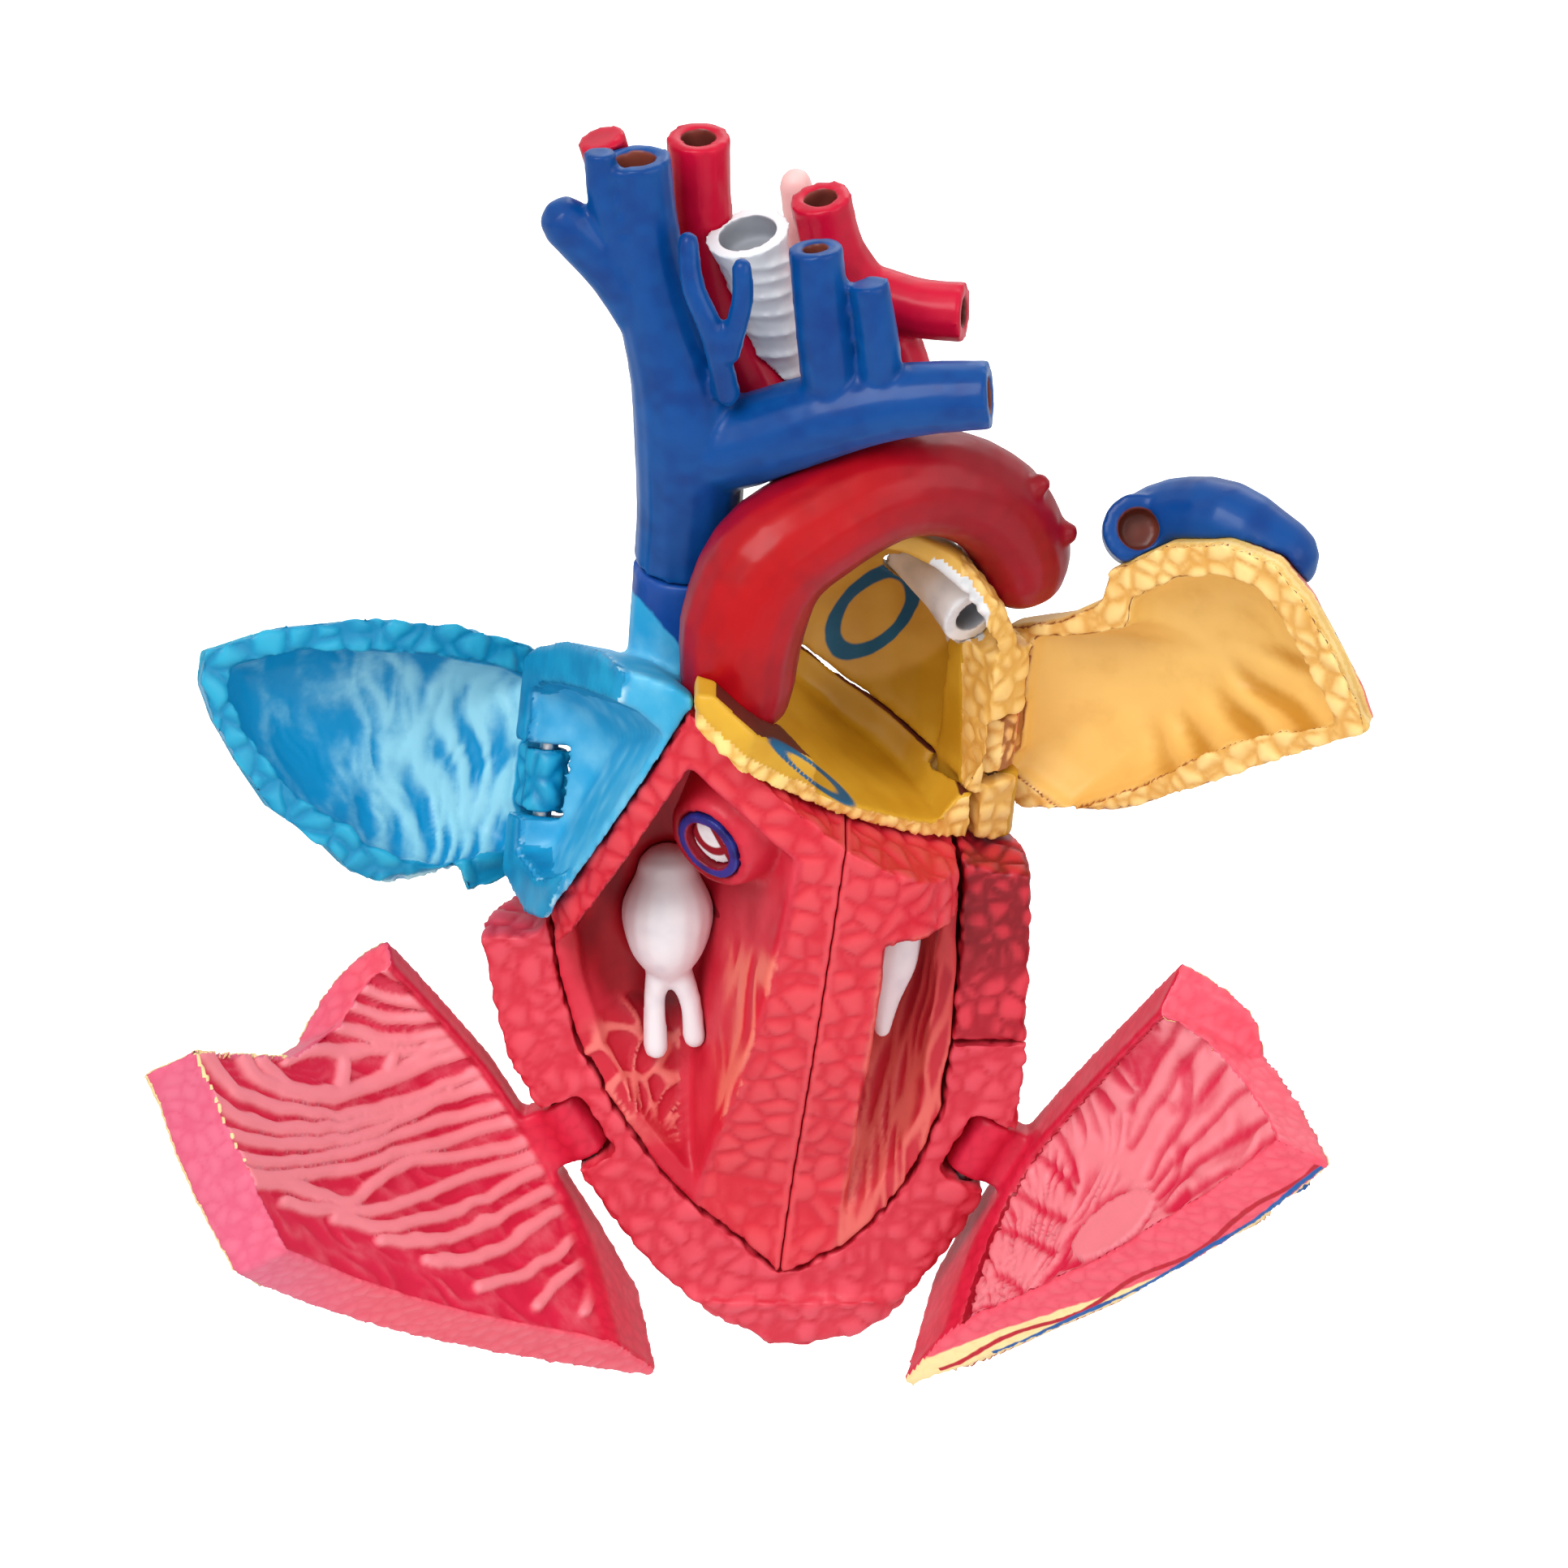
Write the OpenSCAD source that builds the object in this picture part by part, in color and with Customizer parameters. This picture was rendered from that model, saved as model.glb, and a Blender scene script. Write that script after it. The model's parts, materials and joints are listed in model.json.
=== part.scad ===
// Human heart teaching model with four hinged doors, shown open.
// Row frame: +Z up, the viewer looks along +Y, origin in the mouth of the stand socket.
// The heart is drawn closed, with the rim that carries the doors in the plane y = 0,
// and each door is then turned about its hinge pin to the angle at which it stands open.

/* [Ventricles] */
// Height of the ridge between the atria above the apex
ridge_h = 80.5; // [76:0.5:85]
// Reach of the heart to the left of the socket
left_w = 34; // [31:0.5:37]
// Reach of the heart to the right of the socket
right_w = 25; // [23:0.5:27]
// Depth of the front, from the rim to the front of the doors
front_d = 21; // [19:0.5:22]
// Depth of the rear shell behind the rim
back_d = 22; // [20:0.5:25]
// Thickness of the rear shell at its rim
shell_wall = 7.5; // [6.5:0.1:8.5]
// Thickness of the ventricle doors at the septum
door_wall = 6.5; // [5:0.1:7]
// Thickness of the chamber liners
liner = 2.4; // [1.6:0.1:3]

/* [Atria] */
// Thickness of the atrium doors
atrium_wall = 4; // [3:0.1:4.6]
// Depth of the right atrium door
right_atrium_dish = 11; // [9:0.5:13]
// Height of the left atrium floor's rim above its base
floor_rim = 4.5; // [3.5:0.1:5.5]

/* [Vessels] */
// Radius of the aorta at its root
aorta_r = 6.4; // [5.8:0.1:6.8]
// Radius of the upper vena cava
cava_r = 3.8; // [3.3:0.1:4.2]
// Radius of the windpipe at its mouth
windpipe_r = 5; // [4.4:0.1:5.4]
// Depth of the blind holes in the ends of the vessels
mouth_depth = 3; // [2:0.5:4]
// Wall of the vessels around those holes
vessel_wall = 1.7; // [1.3:0.1:2]

/* [Hinges] */
// Radius of the hinge pins
pin_r = 1; // [0.8:0.05:1.2]
// Length of the hinge pins
pin_l = 13; // [11:0.5:15]
// Outer radius of the hinge barrels
barrel_r = 2.6; // [2.3:0.1:3]
// Width of the hinge lugs along the pin
lug_w = 7; // [6:0.5:9]
// Thickness of the arm between barrel and door
arm_t = 3.6; // [3:0.1:4.4]
// Depth of the hinge pins behind the rim
pin_depth = 3.5; // [3.2:0.1:4.2]
// Running clearance of a lug on its pin
pin_clearance = 0.06; // [0.04:0.01:0.1]
// Gap at each side of a lug in its notch
notch_gap = 0.4; // [0.3:0.1:0.8]

/* [Opening angles] */
// Angle at which the right ventricle door stands open
rv_open = 95; // [60:1:100]
// Angle at which the left ventricle door stands open
lv_open = 91; // [60:1:100]
// Angle at which the right atrium door stands open
ra_open = 87; // [60:1:95]
// Angle at which the left atrium door stands open
la_open = 114; // [60:1:120]

/* [Stand socket] */
// Radius of the socket for the stand's rod
socket_r = 2.5; // [2:0.1:3]
// Depth of the socket
socket_l = 8; // [6:0.5:8.5]

/* [Fits] */
// Gap between closed doors and what they close on
door_gap = 0.4; // [0.3:0.05:0.8]
// Gap between pieces that are put together
joint_gap = 0.1; // [0.05:0.05:0.2]
// Radius of the locating pegs
peg_r = 1.2; // [1:0.1:1.4]
// Length of the locating pegs
peg_l = 7; // [6:0.5:8]

/* [Hidden] */
$fn = 32;
big = 200;

// The socket lies this far behind the rim, so the whole heart is moved by it.
socket_y = 8;

// Heights of the sections through the ventricles, and shares of the reach at each.
section_z = [0, 1.2, 3.5, 8, 13, 19, 26, 34, 42, 52, 62, 72, 84];
inner_z = [9, 12, 16, 21, 28, 36, 44, 54, 64, 74, 86];
left_share = [[0, 0.03], [1.2, 0.13], [3.5, 0.26], [8, 0.42], [13, 0.54], [19, 0.655], [26, 0.775],
    [34, 0.9], [42, 0.95], [52, 1], [62, 1], [72, 0.98], [86, 0.94]];
right_share = [[0, 0.06], [1.2, 0.28], [3.5, 0.42], [8, 0.57], [13, 0.73], [19, 0.84], [26, 0.95],
    [34, 0.98], [42, 0.99], [52, 1], [62, 1], [86, 0.97]];
front_share = [[0, 0.02], [5, 0.04], [8, 0.09], [13, 0.21], [19, 0.34], [26, 0.48], [34, 0.63],
    [42, 0.75], [52, 0.87], [64, 0.96], [72, 1], [86, 0.98]];
back_share = [[0, 0.1], [1.2, 0.22], [3.5, 0.36], [8, 0.52], [13, 0.66], [19, 0.79], [26, 0.89],
    [34, 0.97], [42, 1], [52, 1], [64, 0.97], [86, 0.86]];
// A wall of even thickness is cut at a slant near the apex, and so is wider there.
slant = [[9, 2], [12, 1.65], [16, 1.38], [21, 1.22], [28, 1.12], [44, 1.03], [60, 1]];
section_n = 40;
fullness = 0.88;

// The septum's front seam runs up and to the right.
seam_foot = -2.8;
seam_slope = 0.123;
seam_tilt = atan(seam_slope);
function seam_x(z) = seam_foot + seam_slope * z;

function power(a, k) = sign(a) * pow(abs(a), k);
function ring(z, side, front, back) =
    let (c = seam_x(z), k = lookup(z, slant),
        l = max(0.5, c + left_w * lookup(z, left_share) - side * k),
        r = max(0.5, right_w * lookup(z, right_share) - c - side * k),
        f = max(0.4, front_d * lookup(z, front_share) - front),
        b = max(0.4, back_d * lookup(z, back_share) - back))
    [for (i = [0:section_n - 1]) let (a = 360 * i / section_n, u = power(cos(a), fullness),
        v = power(sin(a), fullness)) [c + (u > 0 ? r : l) * u, (v > 0 ? b : f) * v, z]];

// A solid through closed rings of equally many points, listed upwards.
module skin(rings) {
    n = len(rings[0]);
    m = len(rings);
    points = [for (r = rings) each r];
    sides = [for (k = [0:m - 2], i = [0:n - 1]) let (a = k * n + i, b = k * n + (i + 1) % n)
        each [[a, a + n, b], [b, a + n, b + n]]];
    polyhedron(points, concat([[for (i = [0:n - 1]) i]], sides,
        [[for (i = [n - 1:-1:0]) (m - 1) * n + i]]), convexity = 10);
}

// Joins its children into one moulding with flat facets.
module moulding() {
    resize([0, 0, 0]) children();
}

module ventricles(side = 0, front = 0, back = 0, heights = section_z) {
    skin([for (z = heights) ring(z, side, front, back)]);
}
module before_rim(gap = 0) {
    translate([-big / 2, -big - gap, -big / 2]) cube([big, big, big]);
}
module behind_rim() {
    translate([-big / 2, 0, -big / 2]) cube([big, big, big]);
}
module left_of_seam(gap = 0) {
    translate([seam_foot - gap, 0, 0]) rotate([0, seam_tilt, 0])
        translate([-big, -big / 2, -big / 2]) cube([big, big, big]);
}
module right_of_seam(gap = 0) {
    translate([seam_foot + gap, 0, 0]) rotate([0, seam_tilt, 0])
        translate([0, -big / 2, -big / 2]) cube([big, big, big]);
}

// The line between ventricles and atria, seen from the front, in x and z.
ridge_x = -11;
roof = [[-60, 49], [-27.4, 49], [-25, 55.5], [ridge_x, ridge_h], [-3.4, 73.2], [5.1, 65.4],
    [12.8, 60.2], [20.4, 56.5], [60, 52]];
// The right ventricle door stops lower, where the right atrium door overhangs it.
door_roof = [[-60, 55], [-30, 55], [-26, 55.5], [-20, 62], [-15, 74], [-12, 80.5], [-9.5, 77],
    [-3, 71], [5, 65], [12.8, 60.2], [20.4, 57], [23, 59.5], [60, 59.5]];
module under(line, drop = 0) {
    rotate([90, 0, 0]) linear_extrude(big, center = true)
        polygon(concat([for (p = line) [p[0], p[1] - drop]], [[60, -50], [-60, -50]]));
}

// ---- Hinges: the middle of each pin, its direction, the way across its door, and
// the side on which the door lies.
function unit(v) = v / norm(v);
rv_hinge = [[-23.8, pin_depth, 25.1], unit([0.5, 0, -0.866]), [1, 0, 0.6], 1];
lv_hinge = [[19.9, pin_depth, 22.8], unit([-0.49, 0, -0.87]), [-1, 0, 0.55], -1];
ra_hinge = [[-26.4, 11, 62], unit([-0.105, -0.35, -0.93]), [0.354, -0.89, 0.29], 1];
la_hinge = [[20.8, 8.4, 68.3], unit([-0.08, 0.14, -0.985]), [-0.8, -0.585, -0.12], -1];

// A frame at a pin: x runs from the pin across the door, z runs down along the pin.
module at_hinge(hinge) {
    way = hinge[1];
    x = unit(hinge[2] - (hinge[2] * way) * way);
    y = cross(way, x);
    p = hinge[0];
    multmatrix([[x[0], y[0], way[0], p[0]], [x[1], y[1], way[1], p[1]],
        [x[2], y[2], way[2], p[2]]]) children();
}
// The same place with x across the door, y up along the pin and z outwards for side 1.
module at_door(hinge) {
    at_hinge(hinge) rotate([-90, 0, 0]) children();
}
module opened(hinge, angle) {
    translate(hinge[0]) rotate(a = hinge[3] * angle, v = hinge[1]) translate(-hinge[0]) children();
}
module pin_solid(hinge, r, l) {
    at_hinge(hinge) cylinder(r = r, h = l, center = true);
}
// The room that a lug sweeps in the rim beside its door.
module notch(hinge) {
    reach = barrel_r + notch_gap;
    behind = hinge[3] > 0 ? -reach : -big / 10;
    at_hinge(hinge) translate([reach - big / 10, behind, -lug_w / 2 - notch_gap])
        cube([big / 10, reach + big / 10, lug_w + 2 * notch_gap]);
}
// Outside the pin the rim is rounded about it, so that the door's edge clears it.
module rim_round(hinge, behind = 0) {
    plane = hinge == la_hinge ? la_plane : pin_depth;
    front = hinge[3] > 0;
    at_hinge(hinge) difference() {
        translate([-big / 2, front ? -behind : -big / 2, -big / 2])
            cube([big / 2, big / 2 + behind, big]);
        cylinder(r = plane + 0.1, h = big, center = true);
    }
}
// The barrel round the pin and the arm that joins it to its door.
module lug(hinge, arm) {
    at_hinge(hinge) {
        cylinder(r = barrel_r, h = lug_w, center = true);
        translate([-arm_t / 2, hinge[3] > 0 ? 0 : -arm, -lug_w / 2]) cube([arm_t, arm, lug_w]);
    }
}
module lug_bore(hinge) {
    pin_solid(hinge, pin_r + pin_clearance, lug_w + 1);
}

// ---- Tubes: rings of tube_sides points along a smooth line of [x, y, z, radius].
tube_sides = 16;
function line_at(p, i, t) =
    let (a = p[max(i - 1, 0)], b = p[i], c = p[i + 1], d = p[min(i + 2, len(p) - 1)])
    b + t * ((c - a) / 2 + t * (a - 2.5 * b + 2 * c - d / 2 + t * (1.5 * b - a / 2 - 1.5 * c + d / 2)));
function smooth_line(p, n) = concat([for (i = [0:len(p) - 2], k = [0:n - 1]) line_at(p, i, k / n)],
    [p[len(p) - 1]]);
function place(q) = [q[0], q[1], q[2]];
function heading(q, i) = unit(place(q[min(i + 1, len(q) - 1)]) - place(q[max(i - 1, 0)]));
function tube_ring(c, t, r, sides) =
    let (n1 = unit(cross(t, [0, 1, 0.01])), n2 = cross(t, n1))
    [for (k = [0:sides - 1]) c + r * (cos(360 * k / sides) * n1 + sin(360 * k / sides) * n2)];
// first and last say how many rings round off each end.
module tube(points, grow = 0, first = 0, last = 0, sides = tube_sides, steps = 3) {
    q = smooth_line(points, steps);
    m = len(q) - 1;
    t0 = heading(q, 0);
    t1 = heading(q, m);
    r0 = q[0][3] + grow;
    r1 = q[m][3] + grow;
    skin(concat(
        [for (k = [first:-1:1]) let (a = 80 * k / first)
            tube_ring(place(q[0]) - t0 * r0 * sin(a), t0, r0 * cos(a), sides)],
        [for (i = [0:m]) tube_ring(place(q[i]), heading(q, i), q[i][3] + grow, sides)],
        [for (k = [1:1:last]) let (a = 80 * k / last)
            tube_ring(place(q[m]) + t1 * r1 * sin(a), t1, r1 * cos(a), sides)]));
}
// The blind hole in the end of a tube; at_start picks the end.
module mouth(points, at_start = true) {
    m = len(points) - 1;
    end = at_start ? points[0] : points[m];
    next = at_start ? points[1] : points[m - 1];
    t = unit(place(next) - place(end));
    r = end[3] - vessel_wall;
    translate(place(end)) rotate([0, acos(t[2]), atan2(t[1], t[0])])
        translate([0, 0, -1]) cylinder(r = r, h = mouth_depth + 1);
}

// ---- Great vessels
aorta_line = [[-6, -6, 81, aorta_r - 0.4], [-5.5, -6, 87.5, aorta_r + 0.2], [-3, -5, 94, aorta_r + 0.2],
    [2, -3, 97.5, aorta_r - 0.2], [9.5, 0, 100.5, aorta_r - 0.5], [16, 3, 99.5, aorta_r - 0.7],
    [21, 6, 95.5, aorta_r - 0.8], [23.3, 8.5, 90.5, aorta_r - 1], [23.5, 9.5, 88, aorta_r - 1.1]];
descending_line = [[20, 17, 84.5, 3.6], [18.5, 18, 79, 3.6], [19.5, 18, 73.5, 3.5], [20.5, 18, 66, 3.3]];
trunk_line = [[-11.5, 4, 90.5, cava_r + 1.6], [-11, 3, 97.5, cava_r + 1.8], [-11, 2, 105, cava_r + 2],
    [-12, 1.5, 112.5, cava_r + 1.4], [-14, 1.5, 120, cava_r + 0.6], [-15.5, 1.5, 127.5, cava_r],
    [-16.5, 1.5, 136.5, cava_r]];
left_branch_line = [[20, -4, 112.5, cava_r - 0.2], [11, -3, 111.5, cava_r + 0.2],
    [3.5, -2, 109.5, cava_r + 0.8], [-4, 0, 106, cava_r + 1.1], [-11, 2, 103.5, cava_r + 1.2]];
stub_line = [[-23.5, 0, 130, 2.8], [-18.5, 1, 124, 3], [-14, 1.5, 117, 3.4]];
side_vein_line = [[-20, -0.5, 138, 1.7], [-19.5, -0.5, 132, 1.8], [-17.5, 0, 126, 1.8]];
neck_vein_line = [[2, -3, 128.5, 2.9], [3, -3, 118, 3], [4, -2, 110, 3.2]];
arm_vein_line = [[7.5, -4, 125, 2.1], [8.5, -4, 118.5, 2.2], [9, -3, 111.5, 2.4]];
thin_vein_line = [[-11, -3, 129, 1.2], [-10.5, -4, 124.5, 1.3], [-8.5, -4.5, 119.5, 1.4],
    [-7, -3, 112, 1.5]];
thin_branch_line = [[-5.5, -5, 127, 1.1], [-5.5, -5, 123, 1.2], [-7, -4.5, 117, 1.3]];
right_arm_line = [[-20, 6, 137, 2.6], [-17.5, 7, 128.5, 2.6], [-13, 9, 117.5, 2.8], [-8, 10, 110, 3]];
right_neck_line = [[-10, 10, 135.5, 3.4], [-9.5, 11, 125, 3.2], [-7, 10.5, 114, 3.2], [-2.5, 8, 105, 3.4],
    [1.5, 3, 98.5, 3.4]];
left_neck_line = [[2.5, 7, 130, 3.3], [4, 8, 123.5, 3.3], [8, 9, 116.5, 3.4], [11, 8, 109.5, 3.4],
    [12, 4, 102, 3.4]];
left_arm_line = [[17.5, 6, 117.5, 3.2], [13, 7, 117.5, 3.2], [8, 8.5, 118.5, 3.2]];
windpipe_line = [[-5, 6, 126.5, windpipe_r - 0.4], [-4, 7, 122, windpipe_r - 1.4],
    [-2.5, 9, 115, windpipe_r - 1.9], [-1.5, 11.5, 106.5, windpipe_r - 1.9],
    [0.5, 14, 98, windpipe_r - 1.9], [5, 17, 92, windpipe_r - 1.9], [11, 16.5, 87, windpipe_r - 2]];
bronchus_line = [[18.6, 5.8, 83.2, 3.6], [16.2, 9.6, 84.8, 3.3], [12.6, 14.6, 86.4, windpipe_r - 2.1],
    [9, 17, 88.5, windpipe_r - 2.5]];
gullet_line = [[0, 14, 128.5, 1.8], [1, 16, 120, 1.8], [2.5, 18, 107, 1.8], [4, 19.5, 96, 1.8]];
neck_line = [[-13, 6, 66, cava_r + 2], [-12.2, 5, 79, cava_r + 1.7], [-11.5, 4, 90, cava_r + 1.6]];

branch_r = 1.3;
module aorta_solid(grow = 0) {
    tube(aorta_line, grow, 3, 3);
}
module cava_solid(grow = 0) {
    tube(trunk_line, grow);
    tube(left_branch_line, grow, 0, 2);
    tube(stub_line, grow, 2, 2, 12);
    tube(side_vein_line, grow, 0, 2, 10);
    tube(neck_vein_line, grow, 0, 1, 12);
    tube(arm_vein_line, grow, 0, 1, 12);
    tube(thin_vein_line, grow, 2, 1, 8);
    tube(thin_branch_line, grow, 2, 1, 8);
}
module artery_solid(grow = 0) {
    tube(right_arm_line, grow, 0, 2, 12);
    tube(right_neck_line, grow, 0, 0, 12);
    tube(left_neck_line, grow, 0, 0, 12);
    tube(left_arm_line, grow, 0, 2, 12);
}

module placed() {
    translate([0, -socket_y, 0]) children();
}

module aorta_arch() placed() color([0.80, 0.02, 0.07]) moulding() {
    difference() {
        aorta_solid();
        under(roof, -joint_gap);
    }
    // Two cut branches on the outer bend, each at a point of the aorta's line.
    for (b = [[6, [0.8, -0.3, 0.62]], [7, [0.96, -0.25, 0.3]]]) let (q = aorta_line[b[0]])
        translate(place(q) + q[3] * unit(b[1])) sphere(branch_r, $fn = 10);
}
module descending_aorta() placed() color([0.55, 0.02, 0.06]) moulding() difference() {
    tube(descending_line, 0, 2, 2);
    aorta_solid(joint_gap);
    left_atrium_shell(joint_gap);
    tube(bronchus_line, joint_gap);
}
module vena_cava() placed() color([0.05, 0.28, 0.62]) difference() {
    moulding() difference() {
        cava_solid();
        aorta_solid(joint_gap);
    }
    mouth(trunk_line, false);
    mouth(left_branch_line);
    mouth(neck_vein_line);
}
module neck_arteries() placed() color([0.80, 0.02, 0.10]) difference() {
    moulding() difference() {
        artery_solid();
        aorta_solid(joint_gap);
        cava_solid(joint_gap);
    }
    mouth(right_neck_line);
    mouth(left_neck_line);
    mouth(left_arm_line);
}
module windpipe() placed() color([0.93, 0.93, 0.94]) difference() {
    moulding() difference() {
        union() {
            tube(windpipe_line);
            // The rings of cartilage
            q = smooth_line(windpipe_line, 3);
            for (i = [2:9]) tube([q[i] + [0, 0, 0.6, 0.1], q[i] + [0, 0, 0, 0.5], q[i] + [0, 0, -0.6, 0.1]],
                0, 0, 0, 12, 1);
        }
        artery_solid(joint_gap);
        left_atrium_shell(joint_gap);
        aorta_solid(joint_gap);
    }
    mouth(windpipe_line);
}
module left_bronchus() placed() color([0.93, 0.93, 0.94]) moulding() difference() {
    tube(bronchus_line);
    tube(windpipe_line, joint_gap);
    aorta_solid(joint_gap);
    mouth(bronchus_line);
}
module gullet() placed() color([0.93, 0.62, 0.60]) moulding() difference() {
    tube(gullet_line, 0, 2, 2, 10);
    tube(windpipe_line, joint_gap);
    artery_solid(joint_gap);
    left_atrium_shell(joint_gap);
}

// ---- Rear shell of the ventricles
door_foot = 7;
panel_x = 6;
panel_z = 36;
socket_boss_r = socket_r + 2;
module panel_space(gap = 0) {
    translate([panel_x - gap, -1, panel_z - gap]) cube([big, big, big]);
}
module shell_solid() {
    difference() {
        ventricles();
        ventricles(shell_wall, shell_wall, shell_wall, inner_z);
        difference() {
            before_rim();
            translate([-big / 2, -big / 2, door_foot - 2.5 * door_gap - big]) cube([big, big, big]);
        }
        difference() {
            translate([-big / 2, -big / 2, 40]) cube([big, big, big]);
            under(roof, joint_gap);
        }
    }
}
// Across, up, and how far the middle of each peg lies before the deepest part of the joint.
peg_places = [[-16, 36, 3], [-10, 60, 0.8], [11, 24, 6], [9, 48, 0.2]];
module shell_pegs(gap = 0, longer = 0) {
    for (p = peg_places)
        translate([p[0], back_d - shell_wall - p[2], p[1]])
            rotate([90, 0, 0]) cylinder(r = peg_r + gap, h = peg_l + longer, center = true);
}
module rear_shell() placed() color([0.88, 0.25, 0.30]) difference() {
    moulding() {
        difference() {
            shell_solid();
            panel_space(0);
            notch(rv_hinge);
            notch(lv_hinge);
            rim_round(rv_hinge);
            rim_round(lv_hinge);
        }
        difference() {
            translate([0, socket_y, 0]) cylinder(r = socket_boss_r, h = 7, $fn = 24);
            before_rim(-1);
        }
    }
    pin_solid(rv_hinge, pin_r + joint_gap / 4, pin_l + 0.1);
    pin_solid(lv_hinge, pin_r + joint_gap / 4, pin_l + 0.1);
    translate([0, socket_y, -1]) cylinder(r = socket_r, h = socket_l + 1);
    shell_pegs(joint_gap / 4, 0.1);
}
module rear_wall_panel() placed() color([0.75, 0.12, 0.20]) difference() {
    moulding() difference() {
        intersection() {
            shell_solid();
            panel_space(-joint_gap);
        }
        rim_round(lv_hinge);
    }
    shell_pegs(joint_gap / 4, 0.1);
}

// ---- Inserts with the two ventricle chambers
septum_half = 6;
band = 6.5;
chamber_depth = 7;
septum_flare = 22;
overhang_z = 52.5;
module insert_solid() {
    intersection() {
        ventricles(shell_wall + joint_gap, door_wall + 0.5, shell_wall + joint_gap, inner_z);
        under(roof, joint_gap);
    }
}
module chamber_space() {
    before_rim();
    difference() {
        ventricles(shell_wall + liner, 0, back_d - chamber_depth, inner_z);
        translate([-big / 2, -big / 2, -big + 12]) cube([big, big, big]);
    }
}
module right_chamber() {
    difference() {
        intersection() {
            chamber_space();
            under(roof, band);
            translate([seam_foot - septum_half, -front_d / 2, 0]) rotate([0, seam_tilt, 0])
                rotate([0, 0, septum_flare]) translate([-big, -big / 2, -big / 2]) cube([big, big, big]);
        }
        // The septum swells forwards round the outflow ring.
        at_ring() translate([0, 0, -boss_l]) cylinder(r1 = ring_r + boss_l / 2, r2 = ring_r + boss_wall, h = boss_l);
    }
}
module left_chamber() {
    intersection() {
        chamber_space();
        translate([0, -big / 2, overhang_z - big]) cube([big, big, big]);
        translate([seam_foot + septum_half, -front_d / 2, 0]) rotate([0, seam_tilt, 0])
            translate([0, -big / 2, -big / 2]) cube([big, big, big]);
    }
}
// The outflow ring faces left and forwards from the upper septum.
ring_r = 3.9;
ring_l = 4;
boss_wall = 1.2;
boss_l = 12;
module at_ring() {
    translate([-9, -8.5, 63.5]) rotate([18, 0, 0]) rotate([0, 0, -38]) rotate([90, 0, 0]) children();
}
module right_ventricle_insert() placed() color([0.85, 0.20, 0.28]) difference() {
    moulding() difference() {
        intersection() {
            insert_solid();
            left_of_seam(joint_gap / 2);
        }
        right_chamber();
        tricuspid_solid(joint_gap);
    }
    at_ring() translate([0, 0, -ring_l]) cylinder(r = ring_r + joint_gap / 4, h = 3 * ring_l);
    shell_pegs(joint_gap / 4, 0.1);
}
module left_ventricle_insert() placed() color([0.85, 0.20, 0.28]) difference() {
    moulding() difference() {
        intersection() {
            insert_solid();
            right_of_seam(joint_gap / 2);
        }
        left_chamber();
        mitral_solid(joint_gap);
    }
    shell_pegs(joint_gap / 4, 0.1);
}
module locating_pegs() placed() color([0.80, 0.20, 0.25]) shell_pegs();
module tricuspid_solid(grow = 0) {
    tube([[-13.5, 4.5, 54, 3.4], [-13.5, 4, 50.5, 4.9], [-13.5, 3.5, 46.5, 4.3], [-13.4, 3.5, 44, 2.9]], grow, 3, 1);
    tube([[-12.8, 3.5, 44, 1.7], [-11.2, 3.2, 40, 1.2], [-10.7, 3, 35.6, 1.25]], grow, 1, 2, 10);
    tube([[-14.2, 3.5, 44, 1.7], [-14.9, 3.2, 40, 1.2], [-14.8, 3, 34.4, 1.35]], grow, 1, 2, 10);
}
module mitral_solid(grow = 0) {
    tube([[11, 2.5, 48.5, 2.5], [10.2, 2, 45, 2.7], [9.6, 2, 41, 1.7], [9.2, 2, 37, 0.9]], grow, 2, 2, 12);
}
module tricuspid_valve() placed() color([0.95, 0.95, 0.96]) moulding() tricuspid_solid();
module mitral_valve() placed() color([0.95, 0.95, 0.96]) moulding() mitral_solid();
module pulmonary_valve_ring() placed() color([0.08, 0.14, 0.42]) at_ring() difference() {
    translate([0, 0, -ring_l]) cylinder(r = ring_r, h = ring_l + 0.4);
    translate([0, 0, -1.6]) cylinder(r = ring_r - 1.1, h = 3);
}
module pulmonary_valve() placed() color([0.93, 0.90, 0.90]) at_ring()
    translate([0, 0, -1.55]) cylinder(r = ring_r - 1.2, h = 0.9);

// ---- Atria
// Outlines of the two atrium doors, across from the pin and up along it.
ra_outline = [[-2.4, -9.8], [3, -12], [7, -13.7], [12.5, -13.8], [19.3, -12.1], [22.3, -9.7],
    [29.3, -5.9], [33.6, -1], [36.7, 3.1], [38.8, 7.2], [38.5, 10.7], [30, 14], [20.5, 15.5],
    [10.3, 15.5], [1.7, 14], [-2.4, 12]];
ra_centre = [15, 0];
la_outline = [[-2.4, -9], [5, -12.3], [14, -6.4], [23, 0.3], [32, 7.3], [41, 14], [39.5, 17],
    [36.7, 21], [32.3, 26.5], [28, 30], [22, 30.2], [15.5, 27.6], [9.4, 22.2], [8.7, 18], [4.2, 14],
    [-2.4, 10.5]];
la_centre = [21, 12];
function inset(line, c, d) = [for (p = line) p + unit(c - p) * d];
function dome_ring(line, c, s, z) = [for (p = line) let (q = c + (p - c) * s) [q[0], q[1], z]];
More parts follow.
